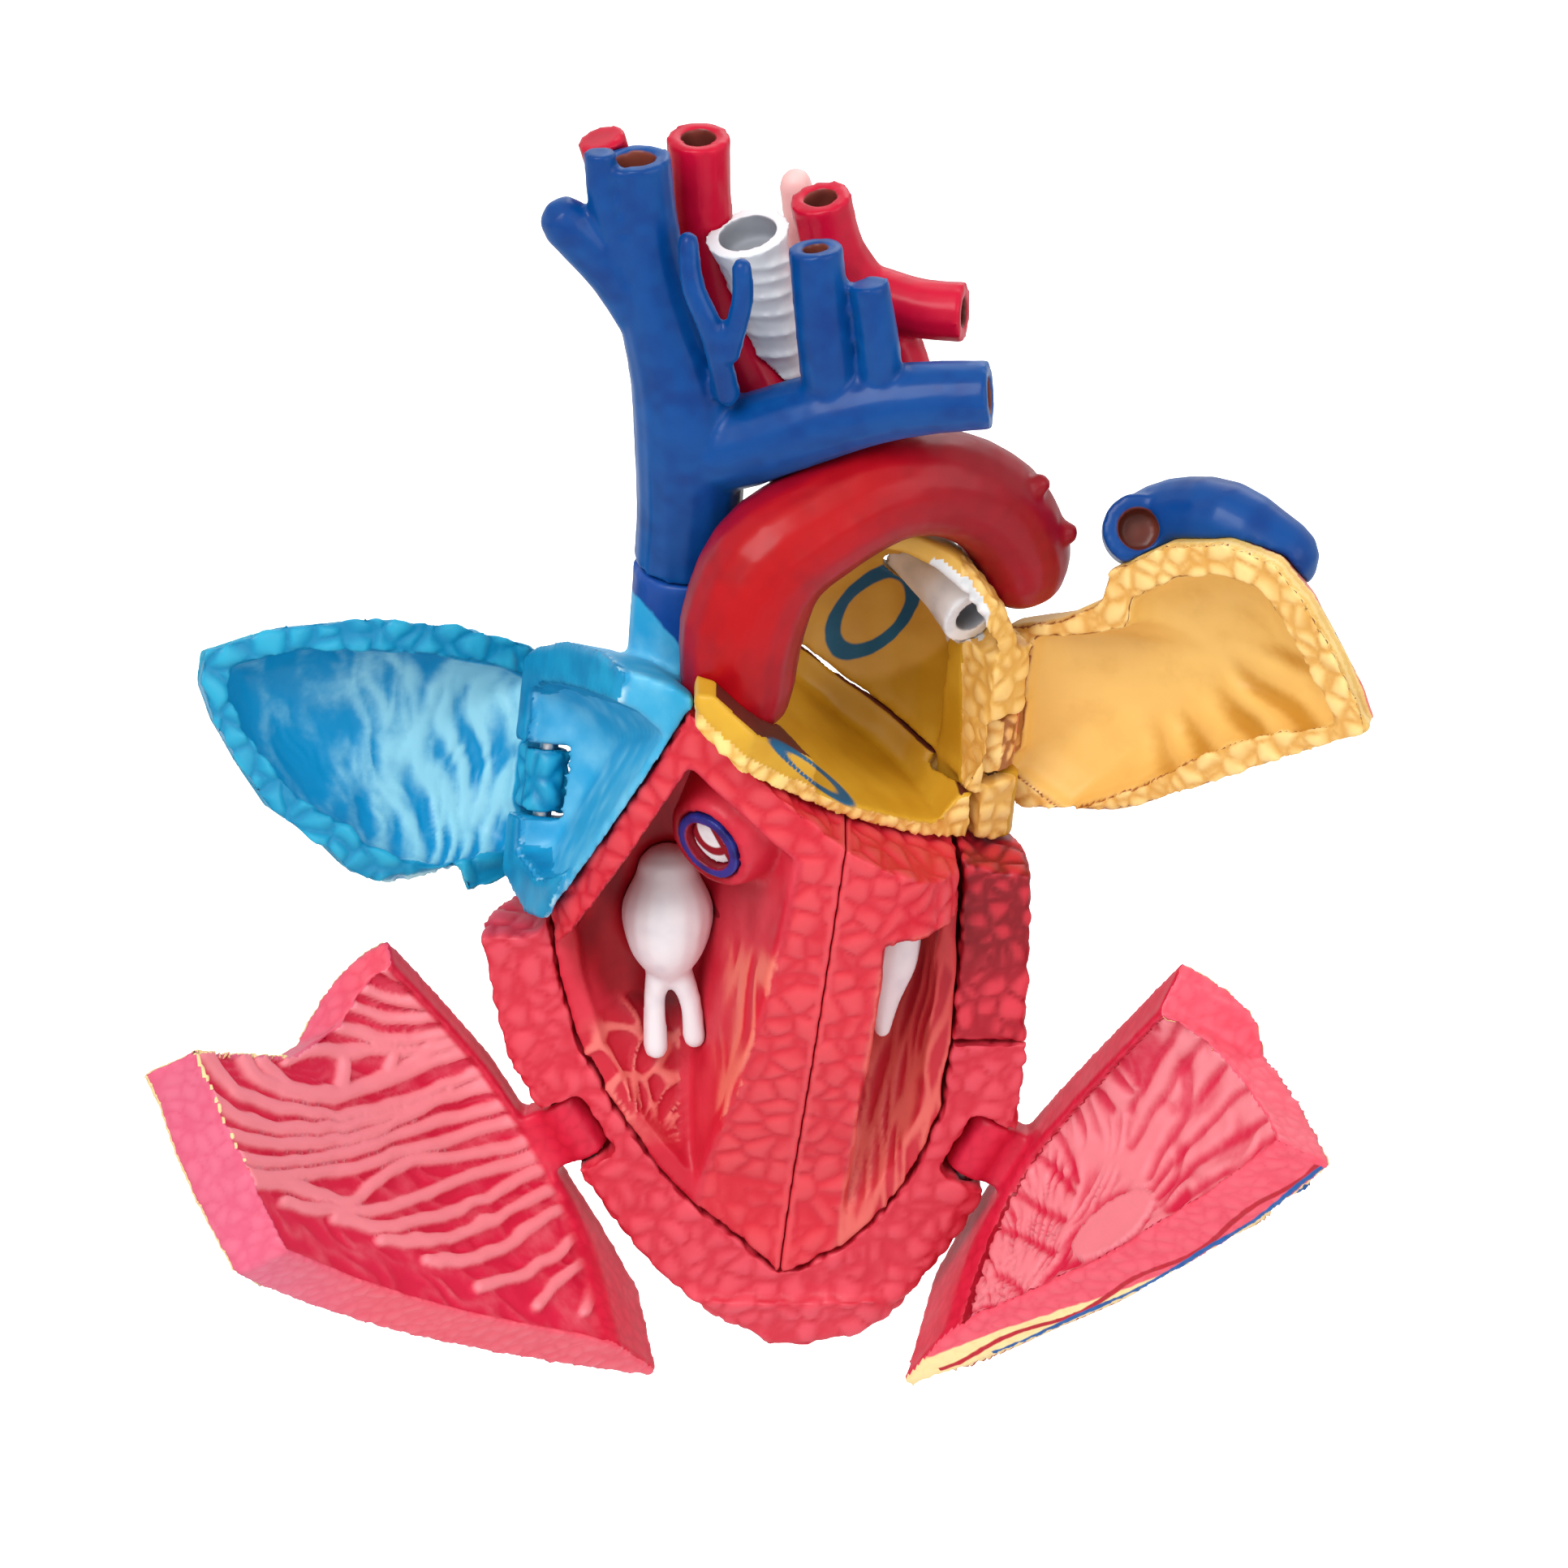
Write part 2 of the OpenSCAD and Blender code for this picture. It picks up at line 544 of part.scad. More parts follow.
// A shallow dome over an outline, from z = low to depth.
module dome(line, c, depth, low = 0) {
    skin(concat(low < 0 ? [dome_ring(line, c, 1, low)] : [],
        [for (t = [0, 0.3, 0.55, 0.75, 0.9, 0.98]) dome_ring(line, c, pow(1 - pow(t, 2.2), 0.5), depth * t)]));
}
module dish(line, c, depth, wall) {
    difference() {
        dome(line, c, depth);
        dome(inset(line, c, wall), c, depth - wall, -1);
    }
}
ra_plane = pin_depth;
module above_roof(gap) {
    difference() {
        translate([-big / 2, -big / 2, 30]) cube([big, big, big]);
        under(roof, -gap);
    }
}
atria_split = -10.5;
// The bowl of the right atrium: its wall, its depth and the base over the ventricle.
right_atrium_wall = 4.6;
right_atrium_bowl = 9;
right_atrium_base = 1.6;
module right_atrium_body() placed() color([0.30, 0.68, 0.85]) difference() {
    moulding() difference() {
        union() {
            intersection() {
                at_door(ra_hinge) translate([0, 0, ra_plane]) mirror([0, 0, 1])
                    dome(ra_outline, ra_centre, 19);
                above_roof(joint_gap);
                union() {
                    ventricles(5, door_wall + 0.5, 0);
                    behind_rim();
                }
            }
            difference() {
                tube(neck_line, 0, 0, 0);
                under(roof, -joint_gap);
            }
        }
        intersection() {
            at_door(ra_hinge) translate([0, 0, ra_plane + 0.01]) mirror([0, 0, 1])
                dome(inset(ra_outline, ra_centre, right_atrium_wall), ra_centre, right_atrium_bowl, -1);
            above_roof(joint_gap + right_atrium_base);
        }
        translate([atria_split - joint_gap / 2, -big / 2, 0]) cube([big, big, 86]);
        notch(ra_hinge);
        rim_round(ra_hinge);
        aorta_solid(joint_gap);
        left_atrium_shell(joint_gap);
    }
    pin_solid(ra_hinge, pin_r + joint_gap / 4, pin_l + 0.1);
}
la_plane = pin_depth - 0.5;
module behind_la_plane() {
    at_door(la_hinge) translate([-big / 2, -big / 2, -la_plane]) cube([big, big, big]);
}
// The hollow that the floor and the back share, and the floor's height under it and at the seam.
atrium_at = [7, 2.5, 76];
module left_atrium_hollow() {
    translate(atrium_at) scale([0.73, 0.70, 0.86]) sphere(20, $fn = 28);
}
floor_base = 2.2;
floor_h = floor_base + floor_rim - 0.7;
module left_atrium_floor() placed() color([0.90, 0.70, 0.36]) moulding() difference() {
    intersection() {
        ventricles(2, 3, 4);
        above_roof(joint_gap);
        under(roof, -floor_h);
        behind_la_plane();
        translate([atria_split + joint_gap / 2, -big / 2, 0]) cube([big, big, big]);
    }
    difference() {
        left_atrium_hollow();
        under(roof, -floor_base);
    }
    aorta_solid(joint_gap);
    hinge_plate(joint_gap, big / 10, plate_room);
    rim_round(la_hinge, 6);
}
module left_atrium_shell(grow = 0) {
    translate(atrium_at) scale([(17.2 + grow) / 20, (16.5 + grow) / 20, (19.5 + grow) / 20])
        sphere(20, $fn = 28);
}
// The plate that carries the pin: its width, depth and length, and its reach above the pin's middle.
plate_w = 6;
plate_t = 8;
plate_l = 25;
plate_top = 12;
// The floor leaves more room for it at its inner side, so that no thin edge stays there.
plate_room = 0.7;
module hinge_plate(grow = 0, outside = 0, inside = 0) {
    at_hinge(la_hinge) translate([-barrel_r - grow - outside, -la_plane - grow, -plate_top - grow])
        cube([plate_w + 2 * grow + outside + inside, plate_t + 2 * grow, plate_l + 2 * grow]);
}
module left_atrium_back() placed() color([0.88, 0.66, 0.30]) difference() {
    moulding() difference() {
        union() {
            difference() {
                left_atrium_shell();
                left_atrium_hollow();
                under(roof, -floor_h - joint_gap);
                translate([-big / 2, -big + 1, -big / 2]) cube([big, big, big]);
                translate([-big + atria_split + 3, -big / 2, -big / 2]) cube([big, big, big]);
                at_hinge(la_hinge) translate([-big - 2.6, -big / 2, -big / 2]) cube([big, big, big]);
                at_hinge(la_hinge) translate([-big / 2, -big - la_plane, -big / 2]) cube([big, big, big]);
            }
            difference() {
                hinge_plate();
                under(roof, -joint_gap);
            }
        }
        aorta_solid(joint_gap);
        tube(bronchus_line, joint_gap);
        notch(la_hinge);
        rim_round(la_hinge, 6);
    }
    pin_solid(la_hinge, pin_r + joint_gap / 4, pin_l + 0.1);
}

// ---- Doors, drawn closed and turned open
// Thickness of the ventricle doors at the rim
right_door_rim = 3.6;
left_door_rim = 5.5;
module ventricle_door(side) {
    intersection() {
        difference() {
            ventricles();
            ventricles(side, door_wall, 0, inner_z);
        }
        before_rim(door_gap);
        translate([-big / 2, -big / 2, door_foot]) cube([big, big, big]);
        under(door_roof, 0);
    }
}
module right_ventricle_door() placed() opened(rv_hinge, rv_open) color([0.92, 0.32, 0.42]) difference() {
    moulding() {
        intersection() {
            ventricle_door(right_door_rim);
            left_of_seam(door_gap / 2);
        }
        lug(rv_hinge, pin_depth + 2.5, $fn = 32);
    }
    lug_bore(rv_hinge);
}
module left_ventricle_door() placed() opened(lv_hinge, lv_open) color([0.90, 0.30, 0.40]) difference() {
    moulding() {
        intersection() {
            ventricle_door(left_door_rim);
            right_of_seam(door_gap / 2);
        }
        lug(lv_hinge, pin_depth + 2.5, $fn = 32);
    }
    lug_bore(lv_hinge);
}
module right_atrium_door() placed() opened(ra_hinge, ra_open) color([0.20, 0.66, 0.78]) difference() {
    moulding() {
        difference() {
            at_door(ra_hinge) translate([0, 0, ra_plane + door_gap])
                dish(ra_outline, ra_centre, right_atrium_dish, atrium_wall);
            translate([atria_split - 1.5, -big / 2, 0]) cube([big, big, big]);
            difference() {
                under(door_roof, -door_gap);
                behind_rim();
            }
        }
        lug(ra_hinge, ra_plane + 2.5, $fn = 32);
    }
    lug_bore(ra_hinge);
}
left_atrium_dish = 11;
module left_door_solid() {
    at_door(la_hinge) translate([0, 0, -la_plane - door_gap]) mirror([0, 0, 1])
        dome(la_outline, la_centre, left_atrium_dish);
}
pulmonary_line = [[9.6, 24, -6.5, 3.8], [13.5, 27, -7.2, 4.1], [19.5, 29, -6.8, 4.3], [26, 27, -7, 4]];
// Its mouth is a short collar near the end, turned towards the front of the open door.
pulmonary_mouth_r = 2.1;
pulmonary_collar_l = 5.2;
pulmonary_collar_turn = [-36, 26, 0];
module at_collar() {
    at_door(la_hinge) translate([0, 0, -la_plane]) translate(place(pulmonary_line[0]))
        rotate(pulmonary_collar_turn) children();
}
module left_atrium_door() placed() opened(la_hinge, la_open) color([0.90, 0.70, 0.38]) difference() {
    moulding() {
        difference() {
            at_door(la_hinge) translate([0, 0, -la_plane - door_gap]) mirror([0, 0, 1])
                dish(la_outline, la_centre, left_atrium_dish, atrium_wall);
            translate([-big + atria_split + 2.4, -big / 2, 0]) cube([big, big, big]);
            under(door_roof, -door_gap);
            under(roof, -door_gap);
        }
        lug(la_hinge, la_plane + 2.5, $fn = 32);
    }
    lug_bore(la_hinge);
}
module pulmonary_artery() placed() opened(la_hinge, la_open) color([0.05, 0.26, 0.58]) difference() {
    moulding() difference() {
        union() {
            at_door(la_hinge) translate([0, 0, -la_plane]) tube(pulmonary_line, 0, 3, 3);
            at_collar() cylinder(r = pulmonary_mouth_r + vessel_wall, h = pulmonary_collar_l, $fn = 24);
        }
        left_door_solid();
    }
    at_collar() translate([0, 0, pulmonary_collar_l - mouth_depth])
        cylinder(r = pulmonary_mouth_r, h = 2 * mouth_depth);
}
module rv_hinge_pin() placed() color("silver") pin_solid(rv_hinge, pin_r, pin_l);
module lv_hinge_pin() placed() color("silver") pin_solid(lv_hinge, pin_r, pin_l);
module ra_hinge_pin() placed() color("silver") pin_solid(ra_hinge, pin_r, pin_l);
module la_hinge_pin() placed() color("silver") pin_solid(la_hinge, pin_r, pin_l);

rear_shell();
rear_wall_panel();
right_ventricle_insert();
left_ventricle_insert();
tricuspid_valve();
mitral_valve();
pulmonary_valve_ring();
pulmonary_valve();
right_atrium_body();
left_atrium_floor();
left_atrium_back();
aorta_arch();
descending_aorta();
neck_arteries();
vena_cava();
windpipe();
left_bronchus();
gullet();
right_ventricle_door();
left_ventricle_door();
right_atrium_door();
left_atrium_door();
pulmonary_artery();
rv_hinge_pin();
lv_hinge_pin();
ra_hinge_pin();
la_hinge_pin();
locating_pegs();
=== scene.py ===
import itertools
import json
import math

import bmesh
import bpy
import numpy as np
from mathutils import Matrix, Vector


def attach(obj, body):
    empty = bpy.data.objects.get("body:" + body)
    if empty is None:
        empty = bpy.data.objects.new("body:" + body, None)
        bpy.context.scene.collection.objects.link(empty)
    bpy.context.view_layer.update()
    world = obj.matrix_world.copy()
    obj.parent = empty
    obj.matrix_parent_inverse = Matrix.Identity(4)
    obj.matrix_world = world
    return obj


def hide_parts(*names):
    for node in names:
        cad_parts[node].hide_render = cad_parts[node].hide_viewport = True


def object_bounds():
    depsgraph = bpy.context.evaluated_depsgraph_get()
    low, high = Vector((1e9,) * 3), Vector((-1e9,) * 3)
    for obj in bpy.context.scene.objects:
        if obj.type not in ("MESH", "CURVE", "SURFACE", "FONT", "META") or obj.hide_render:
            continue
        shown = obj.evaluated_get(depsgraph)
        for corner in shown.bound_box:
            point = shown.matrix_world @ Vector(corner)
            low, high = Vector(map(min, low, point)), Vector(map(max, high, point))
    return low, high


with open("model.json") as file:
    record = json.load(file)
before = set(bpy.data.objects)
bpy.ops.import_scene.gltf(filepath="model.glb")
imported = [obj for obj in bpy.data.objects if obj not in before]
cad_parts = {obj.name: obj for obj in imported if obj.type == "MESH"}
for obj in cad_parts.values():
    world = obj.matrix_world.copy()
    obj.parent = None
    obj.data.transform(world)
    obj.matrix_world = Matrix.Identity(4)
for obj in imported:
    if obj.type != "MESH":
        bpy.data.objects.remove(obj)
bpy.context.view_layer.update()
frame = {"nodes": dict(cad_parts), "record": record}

# All shaping below is done in millimetres, in the frame of the closed heart: x to the viewer's right,
# y to the back with the rim at 0, z up from the apex. Blender's own places are in metres.
MM = 0.001
SOCKET_BEHIND_RIM = 8
# The camera: degrees above the level, metres away, and in mm the picture's width and middle.
VIEW_ELEVATION = 25
VIEW_DISTANCE = 1.2
PHOTO_SPAN = 164.2
PHOTO_CENTRE = (-1.2, 60.3)

BODY = {node: body for body, nodes in frame["record"]["behaviour"]["bodies"].items() for node in nodes}


# ---- Numbers ----------------------------------------------------------------------------------

def unit(v):
    v = np.array(v, float)
    return v / np.linalg.norm(v)


def step(x, low, high):
    """Goes smoothly from 0 at low to 1 at high."""
    t = np.clip((x - low) / (high - low), 0, 1)
    return t * t * (3 - 2 * t)


def blend(a, b, t):
    return a + (b - a) * t


AXIS_PRIMES = (73856093, 19349663, 83492791)
STIR_STEPS = ((15, 2246822519), (13, 3266489917))
LOW_32_BITS = 0xFFFFFFFF
LOW_24_BITS = 0xFFFFFF


def scatter(cell, seed):
    """A fixed number from 0 to 1 for each whole-numbered cell."""
    n = np.full(cell.shape[0], seed * 7919 + 17, np.uint64)
    for k, prime in zip(range(cell.shape[1]), AXIS_PRIMES):
        n ^= (cell[:, k].astype(np.int64) & LOW_32_BITS).astype(np.uint64) * np.uint64(prime)
        n &= np.uint64(LOW_32_BITS)
    for shift, factor in STIR_STEPS:
        n = ((n ^ (n >> np.uint64(shift))) * np.uint64(factor)) & np.uint64(LOW_32_BITS)
    return ((n ^ (n >> np.uint64(16))) & np.uint64(LOW_24_BITS)).astype(float) / (LOW_24_BITS + 1)


def noise(p, size, seed=0):
    """Smooth noise from -1 to 1 with bumps about size wide."""
    q = p / size
    base = np.floor(q)
    f = q - base
    f = f * f * (3 - 2 * f)
    total = np.zeros(len(p))
    for corner in itertools.product((0, 1), repeat=p.shape[1]):
        weight = np.ones(len(p))
        for k, c in enumerate(corner):
            weight *= f[:, k] if c else 1 - f[:, k]
        total += weight * scatter(base + np.array(corner), seed)
    return 2 * total - 1


def cells(p, size, seed=0, jitter=0.85):
    """Distances to the two nearest of points strewn about size apart, and a number for the nearest."""
    q = p / size
    base = np.floor(q)
    near = np.full(len(p), 9.0)
    second = np.full(len(p), 9.0)
    owner = np.zeros(len(p))
    for offset in itertools.product((-1, 0, 1), repeat=p.shape[1]):
        cell = base + np.array(offset)
        d2 = np.zeros(len(p))
        for k in range(p.shape[1]):
            d2 += (cell[:, k] + 0.5 + jitter * (scatter(cell, seed + k + 1) - 0.5) - q[:, k]) ** 2
        d = np.sqrt(d2)
        closer = d < near
        second = np.where(closer, near, np.minimum(second, d))
        owner = np.where(closer, scatter(cell, seed + 11), owner)
        near = np.where(closer, d, near)
    return near, second, owner


def pebbles(p, size=2.4, seed=1, groove=0.7):
    """Cobbled relief: 1 on the round tops and 0 in the grooves between them."""
    bent = p + 0.35 * np.stack([noise(p, 2.2, seed + k) for k in (5, 6, 7)], 1)
    near, second, owner = cells(bent, size, seed)
    edge = np.clip((second - near) / groove, 0, 1)
    return (1 - (1 - edge) ** 2) * (0.8 + 0.2 * owner)


def strands(along, across, length, pitch, seed=1, width=0.5):
    """Long ridges that split and join round narrow pits: 1 on the ridges and 0 in the pits."""
    q = np.stack([along / length, across / pitch], 1)
    q[:, 1] += 0.35 * noise(q * [1.3, 0.6], 1, seed + 3)
    near, second, owner = cells(q, 1, seed)
    return 1 - step(second - near, 0.02, width) * (0.65 + 0.35 * owner)


def front(p):
    """Where points are seen from the front: across, and up from the apex."""
    e = math.radians(VIEW_ELEVATION)
    return p[:, 0], p[:, 1] * math.sin(e) + p[:, 2] * math.cos(e)


def fan(a, b, centre):
    """Distance and angle in degrees round a centre in the front view."""
    return np.hypot(a - centre[0], b - centre[1]), np.degrees(np.arctan2(b - centre[1], a - centre[0]))


def oval(a, b, centre, half, tilt=0):
    """Distance inwards from an oval's outline in the front view, negative outside."""
    t = math.radians(tilt)
    x = (a - centre[0]) * math.cos(t) + (b - centre[1]) * math.sin(t)
    y = (b - centre[1]) * math.cos(t) - (a - centre[0]) * math.sin(t)
    return (1 - np.hypot(x / half[0], y / half[1])) * min(half)


def line_distance(a, b, points):
    """Distance in the front view from a line through points."""
    best = np.full(len(a), 1e3)
    for (x0, y0), (x1, y1) in zip(points, points[1:]):
        run, rise = x1 - x0, y1 - y0
        t = np.clip(((a - x0) * run + (b - y0) * rise) / (run ** 2 + rise ** 2), 0, 1)
        best = np.minimum(best, np.hypot(a - x0 - t * run, b - y0 - t * rise))
    return best


def smooth_line(points, parts=4):
    """A line through points with its corners rounded, as many more points."""
    q = np.array(points, float)
    q = np.concatenate([q[:1], q, q[-1:]])
    line = []
    for before, start, end, after in zip(q, q[1:], q[2:], q[3:]):
        for t in np.arange(parts) / parts:
            line.append(start + t * ((end - before) / 2 + t * (before - 2.5 * start + 2 * end - after / 2
                        + t * (1.5 * start - before / 2 - 1.5 * end + after / 2))))
    return [tuple(point) for point in line] + [tuple(q[-1])]


def lines_distance(a, b, lines):
    """Distance in the front view from the nearest of several smooth lines."""
    return np.min([line_distance(a, b, smooth_line(line)) for line in lines], axis=0)


def crest(distance, half, flat=0.4):
    """A rounded ridge about a line: 1 along it and 0 from half its width outwards."""
    return 1 - step(distance, half * flat, half)


# ---- Hinges -----------------------------------------------------------------------------------

# For each door: the middle of its pin, the way down along it, the way across the door, the side
# that it lies on, and the angle at which it stands open.
HINGE = {
    "rv_door": ((-23.8, 3.5, 25.1), (0.5, 0, -0.866), (1, 0, 0.6), 1, 95),
    "lv_door": ((19.9, 3.5, 22.8), (-0.49, 0, -0.87), (-1, 0, 0.55), -1, 91),
    "ra_door": ((-26.4, 11, 62), (-0.105, -0.35, -0.93), (0.354, -0.89, 0.29), 1, 87),
    "la_door": ((20.8, 8.4, 68.3), (-0.08, 0.14, -0.985), (-0.8, -0.585, -0.12), -1, 114),
}


def turned(p, body):
    """Points of an open door where it is shut."""
    centre, way, side, angle = [HINGE[body][k] for k in (0, 1, 3, 4)]
    w = unit(way)
    t = math.radians(-side * angle)
    q = p - np.array(centre)
    return (q * math.cos(t) + np.cross(w, q) * math.sin(t) + np.outer(q @ w, w) * (1 - math.cos(t))
            + np.array(centre))


def turned_ways(n, body):
    """The normals of an open door as they point when it is shut."""
    centre = np.array(HINGE[body][0])
    return turned(n + centre, body) - centre


def door_place(p, body):
    """Across, up along the pin and outwards, for points of a shut door."""
    centre, way, across = HINGE[body][:3]
    w = unit(way)
    x = unit(np.array(across) - (np.array(across) @ w) * w)
    q = p - np.array(centre)
    return q @ x, -(q @ w), q @ np.cross(w, x)


# ---- Skins ------------------------------------------------------------------------------------

def relax(points, edges, rounds, cap):
    """Smooths facets without shrinking, and moves no point by more than cap."""
    count = np.bincount(edges.ravel(), minlength=len(points))[:, None]
    start = points.copy()
    for share in (0.5, -0.52) * rounds:
        mean = np.empty_like(points)
        for k in range(3):
            mean[:, k] = (np.bincount(edges[:, 0], points[edges[:, 1], k], len(points))
                          + np.bincount(edges[:, 1], points[edges[:, 0], k], len(points)))
        points = points + share * (mean / count - points)
    move = points - start
    length = np.maximum(np.linalg.norm(move, axis=1, keepdims=True), 1e-9)
    return start + move * np.minimum(1, cap / length)


def mesh_points(mesh, what="co"):
    data = np.empty(3 * len(mesh.vertices), np.float32)
    mesh.vertices.foreach_get(what, data)
    return data.reshape(-1, 3).astype(float)


def set_points(mesh, points):
    placed = (points + [0, -SOCKET_BEHIND_RIM, 0]).astype(np.float32)
    mesh.vertices.foreach_set("co", placed.ravel() * MM)
    mesh.update()


def skin(node, look, material, voxel=0.42, rounds=30, cap=0.25):
    """Replaces a node by a fine skin of its shape, which look(points, normals, front place) carves."""
    mesh = frame["nodes"][node].data.copy()
    bm = bmesh.new()
    bm.from_mesh(mesh)
    bmesh.ops.remove_doubles(bm, verts=bm.verts, dist=MM / 1000)
    bm.to_mesh(mesh)
    bm.free()
    piece = bpy.data.objects.new(node + "_skin", mesh)
    bpy.context.scene.collection.objects.link(piece)
    even = piece.modifiers.new("Even faces", 'REMESH')
    even.mode = 'VOXEL'
    even.voxel_size = voxel * MM
    fine = bpy.data.meshes.new_from_object(piece.evaluated_get(bpy.context.evaluated_depsgraph_get()))
    piece.modifiers.clear()
    piece.data = fine
    points = mesh_points(fine) / MM + [0, SOCKET_BEHIND_RIM, 0]
    edges = np.empty(2 * len(fine.edges), np.int32)
    fine.edges.foreach_get("vertices", edges)
    points = relax(points, edges.reshape(-1, 2), rounds, cap(points)[:, None] if callable(cap) else cap)
    set_points(fine, points)
    normals = mesh_points(fine, "normal")
    cut, masks = look(points, normals, front(points))
    set_points(fine, points - normals * cut[:, None])
    for name, values in masks.items():
        fine.attributes.new(name, 'FLOAT', 'POINT').data.foreach_set("value", values.astype(np.float32))
    fine.polygons.foreach_set("use_smooth", np.ones(len(fine.polygons), bool))
    fine.materials.clear()
    fine.materials.append(material)
    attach(piece, BODY[node])
    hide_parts(node)
    return piece


# ---- Materials --------------------------------------------------------------------------------

def paint(red, green, blue):
    """A colour given as it is seen, on 0 to 255."""
    def linear(c):
        c /= 255
        return c / 12.92 if c <= 0.04045 else ((c + 0.055) / 1.055) ** 2.4
    return (linear(red), linear(green), linear(blue), 1)


class Nodes:
    """Short ways to build a node tree."""

    def __init__(self, tree):
        self.tree = tree

    def put(self, kind, inputs=(), **settings):
        node = self.tree.nodes.new(kind)
        for key, value in settings.items():
            setattr(node, key, value)
        for key, value in dict(inputs).items():
            if hasattr(value, "is_output"):
                self.tree.links.new(value, node.inputs[key])
            else:
                node.inputs[key].default_value = value
        return node

    def link(self, output, into):
        self.tree.links.new(output, into)

    def math(self, operation, a, b=0.0):
        return self.put('ShaderNodeMath', {0: a, 1: b}, operation=operation).outputs[0]

    def mix(self, factor, a, b):
        node = self.put('ShaderNodeMix', {0: factor, 6: a, 7: b}, data_type='RGBA')
        return node.outputs[2]

    def spread(self, value, low, high):
        node = self.put('ShaderNodeMapRange', {0: value, 1: low, 2: high},
                        interpolation_type='SMOOTHSTEP')
        return node.outputs[0]


def new_group(name, inputs, outputs):
    tree = bpy.data.node_groups.new(name, 'ShaderNodeTree')
    for title, kind, default in inputs:
        socket = tree.interface.new_socket(title, in_out='INPUT', socket_type=kind)
        if default is not None:
            socket.default_value = default
    for title, kind in outputs:
        tree.interface.new_socket(title, in_out='OUTPUT', socket_type=kind)
    nodes = Nodes(tree)
    return tree, nodes, nodes.put('NodeGroupInput').outputs, nodes.put('NodeGroupOutput').inputs


FLOAT, COLOUR, VECTOR = 'NodeSocketFloat', 'NodeSocketColor', 'NodeSocketVector'


def dry_brush_group():
    """Paint in the hollows and a second colour brushed over what stands proud."""
    tree, nodes, given, out = new_group(
        "Dry brush",
        [("Place", VECTOR, None), ("Relief", FLOAT, 0.5), ("Hollow", COLOUR, None),
         ("Proud", COLOUR, None), ("Level", FLOAT, 0.5), ("Softness", FLOAT, 0.35),
         ("Unevenness", FLOAT, 0.35)],
        [("Color", COLOUR)])
    coarse = nodes.put('ShaderNodeTexNoise', {"Vector": given["Place"], "Scale": 160.0, "Detail": 4.0})
    fine = nodes.put('ShaderNodeTexNoise', {"Vector": given["Place"], "Scale": 900.0, "Detail": 3.0})
    both = nodes.math('ADD', nodes.math('MULTIPLY', coarse.outputs[0], 1.3),
                      nodes.math('MULTIPLY', fine.outputs[0], 0.7))
    uneven = nodes.math('MULTIPLY', nodes.math('SUBTRACT', both, 1.0), given["Unevenness"])
    height = nodes.math('ADD', given["Relief"], uneven)
    share = nodes.spread(height, nodes.math('SUBTRACT', given["Level"], given["Softness"]),
                         nodes.math('ADD', given["Level"], given["Softness"]))
    nodes.link(nodes.mix(share, given["Hollow"], given["Proud"]), out["Color"])
    return tree


def paint_edge_group():
    """Turns a distance in mm into a painted area with a hand-made edge."""
    tree, nodes, given, out = new_group(
        "Paint edge",
        [("Place", VECTOR, None), ("Distance", FLOAT, 0.0), ("Softness", FLOAT, 0.12),
         ("Wobble", FLOAT, 0.3)],
        [("Mask", FLOAT)])
    wave = nodes.put('ShaderNodeTexNoise', {"Vector": given["Place"], "Scale": 420.0, "Detail": 2.0})
    swing = nodes.math('MULTIPLY', nodes.math('SUBTRACT', wave.outputs[0], 0.5), given["Wobble"])
    moved = nodes.math('ADD', given["Distance"], swing)
    low = nodes.math('MULTIPLY', given["Softness"], -1.0)
    nodes.link(nodes.spread(moved, low, given["Softness"]), out["Mask"])
    return tree


def mottle_group():
    """Slow changes of shade over the painted plastic."""
    tree, nodes, given, out = new_group(
        "Mottle",
        [("Place", VECTOR, None), ("Color", COLOUR, None), ("Amount", FLOAT, 0.08)],
        [("Color", COLOUR)])
    cloud = nodes.put('ShaderNodeTexNoise', {"Vector": given["Place"], "Scale": 75.0, "Detail": 5.0})
    swing = nodes.math('MULTIPLY', nodes.math('SUBTRACT', cloud.outputs[0], 0.5), given["Amount"])
    value = nodes.math('ADD', nodes.math('MULTIPLY', swing, 2.0), 1.0)
    shade = nodes.put('ShaderNodeHueSaturation', {"Value": value, "Color": given["Color"]})
    nodes.link(shade.outputs[0], out["Color"])
    return tree


def grain_group():
    """The fine skin of moulded vinyl, as a height."""
    tree, nodes, given, out = new_group(
        "Vinyl grain",
        [("Place", VECTOR, None), ("Scale", FLOAT, 1.0)],
        [("Height", FLOAT), ("Gloss", FLOAT)])
    speck_scale = nodes.math('MULTIPLY', given["Scale"], 1500.0)
    speck = nodes.put('ShaderNodeTexNoise', {"Vector": given["Place"], "Scale": speck_scale,
                                             "Detail": 3.0})
    dimple_scale = nodes.math('MULTIPLY', given["Scale"], 700.0)
    dimple = nodes.put('ShaderNodeTexVoronoi', {"Vector": given["Place"], "Scale": dimple_scale})
    height = nodes.math('ADD', nodes.math('MULTIPLY', speck.outputs[0], 0.5),
                        nodes.math('MULTIPLY', dimple.outputs[0], 0.5))
    nodes.link(height, out["Height"])
    smear = nodes.put('ShaderNodeTexNoise', {"Vector": given["Place"], "Scale": 240.0, "Detail": 2.0})
    gloss = nodes.math('MULTIPLY', nodes.math('SUBTRACT', smear.outputs[0], 0.5), 0.24)
    nodes.link(gloss, out["Gloss"])
    return tree


DRY_BRUSH = dry_brush_group()
PAINT_EDGE = paint_edge_group()
MOTTLE = mottle_group()
GRAIN = grain_group()


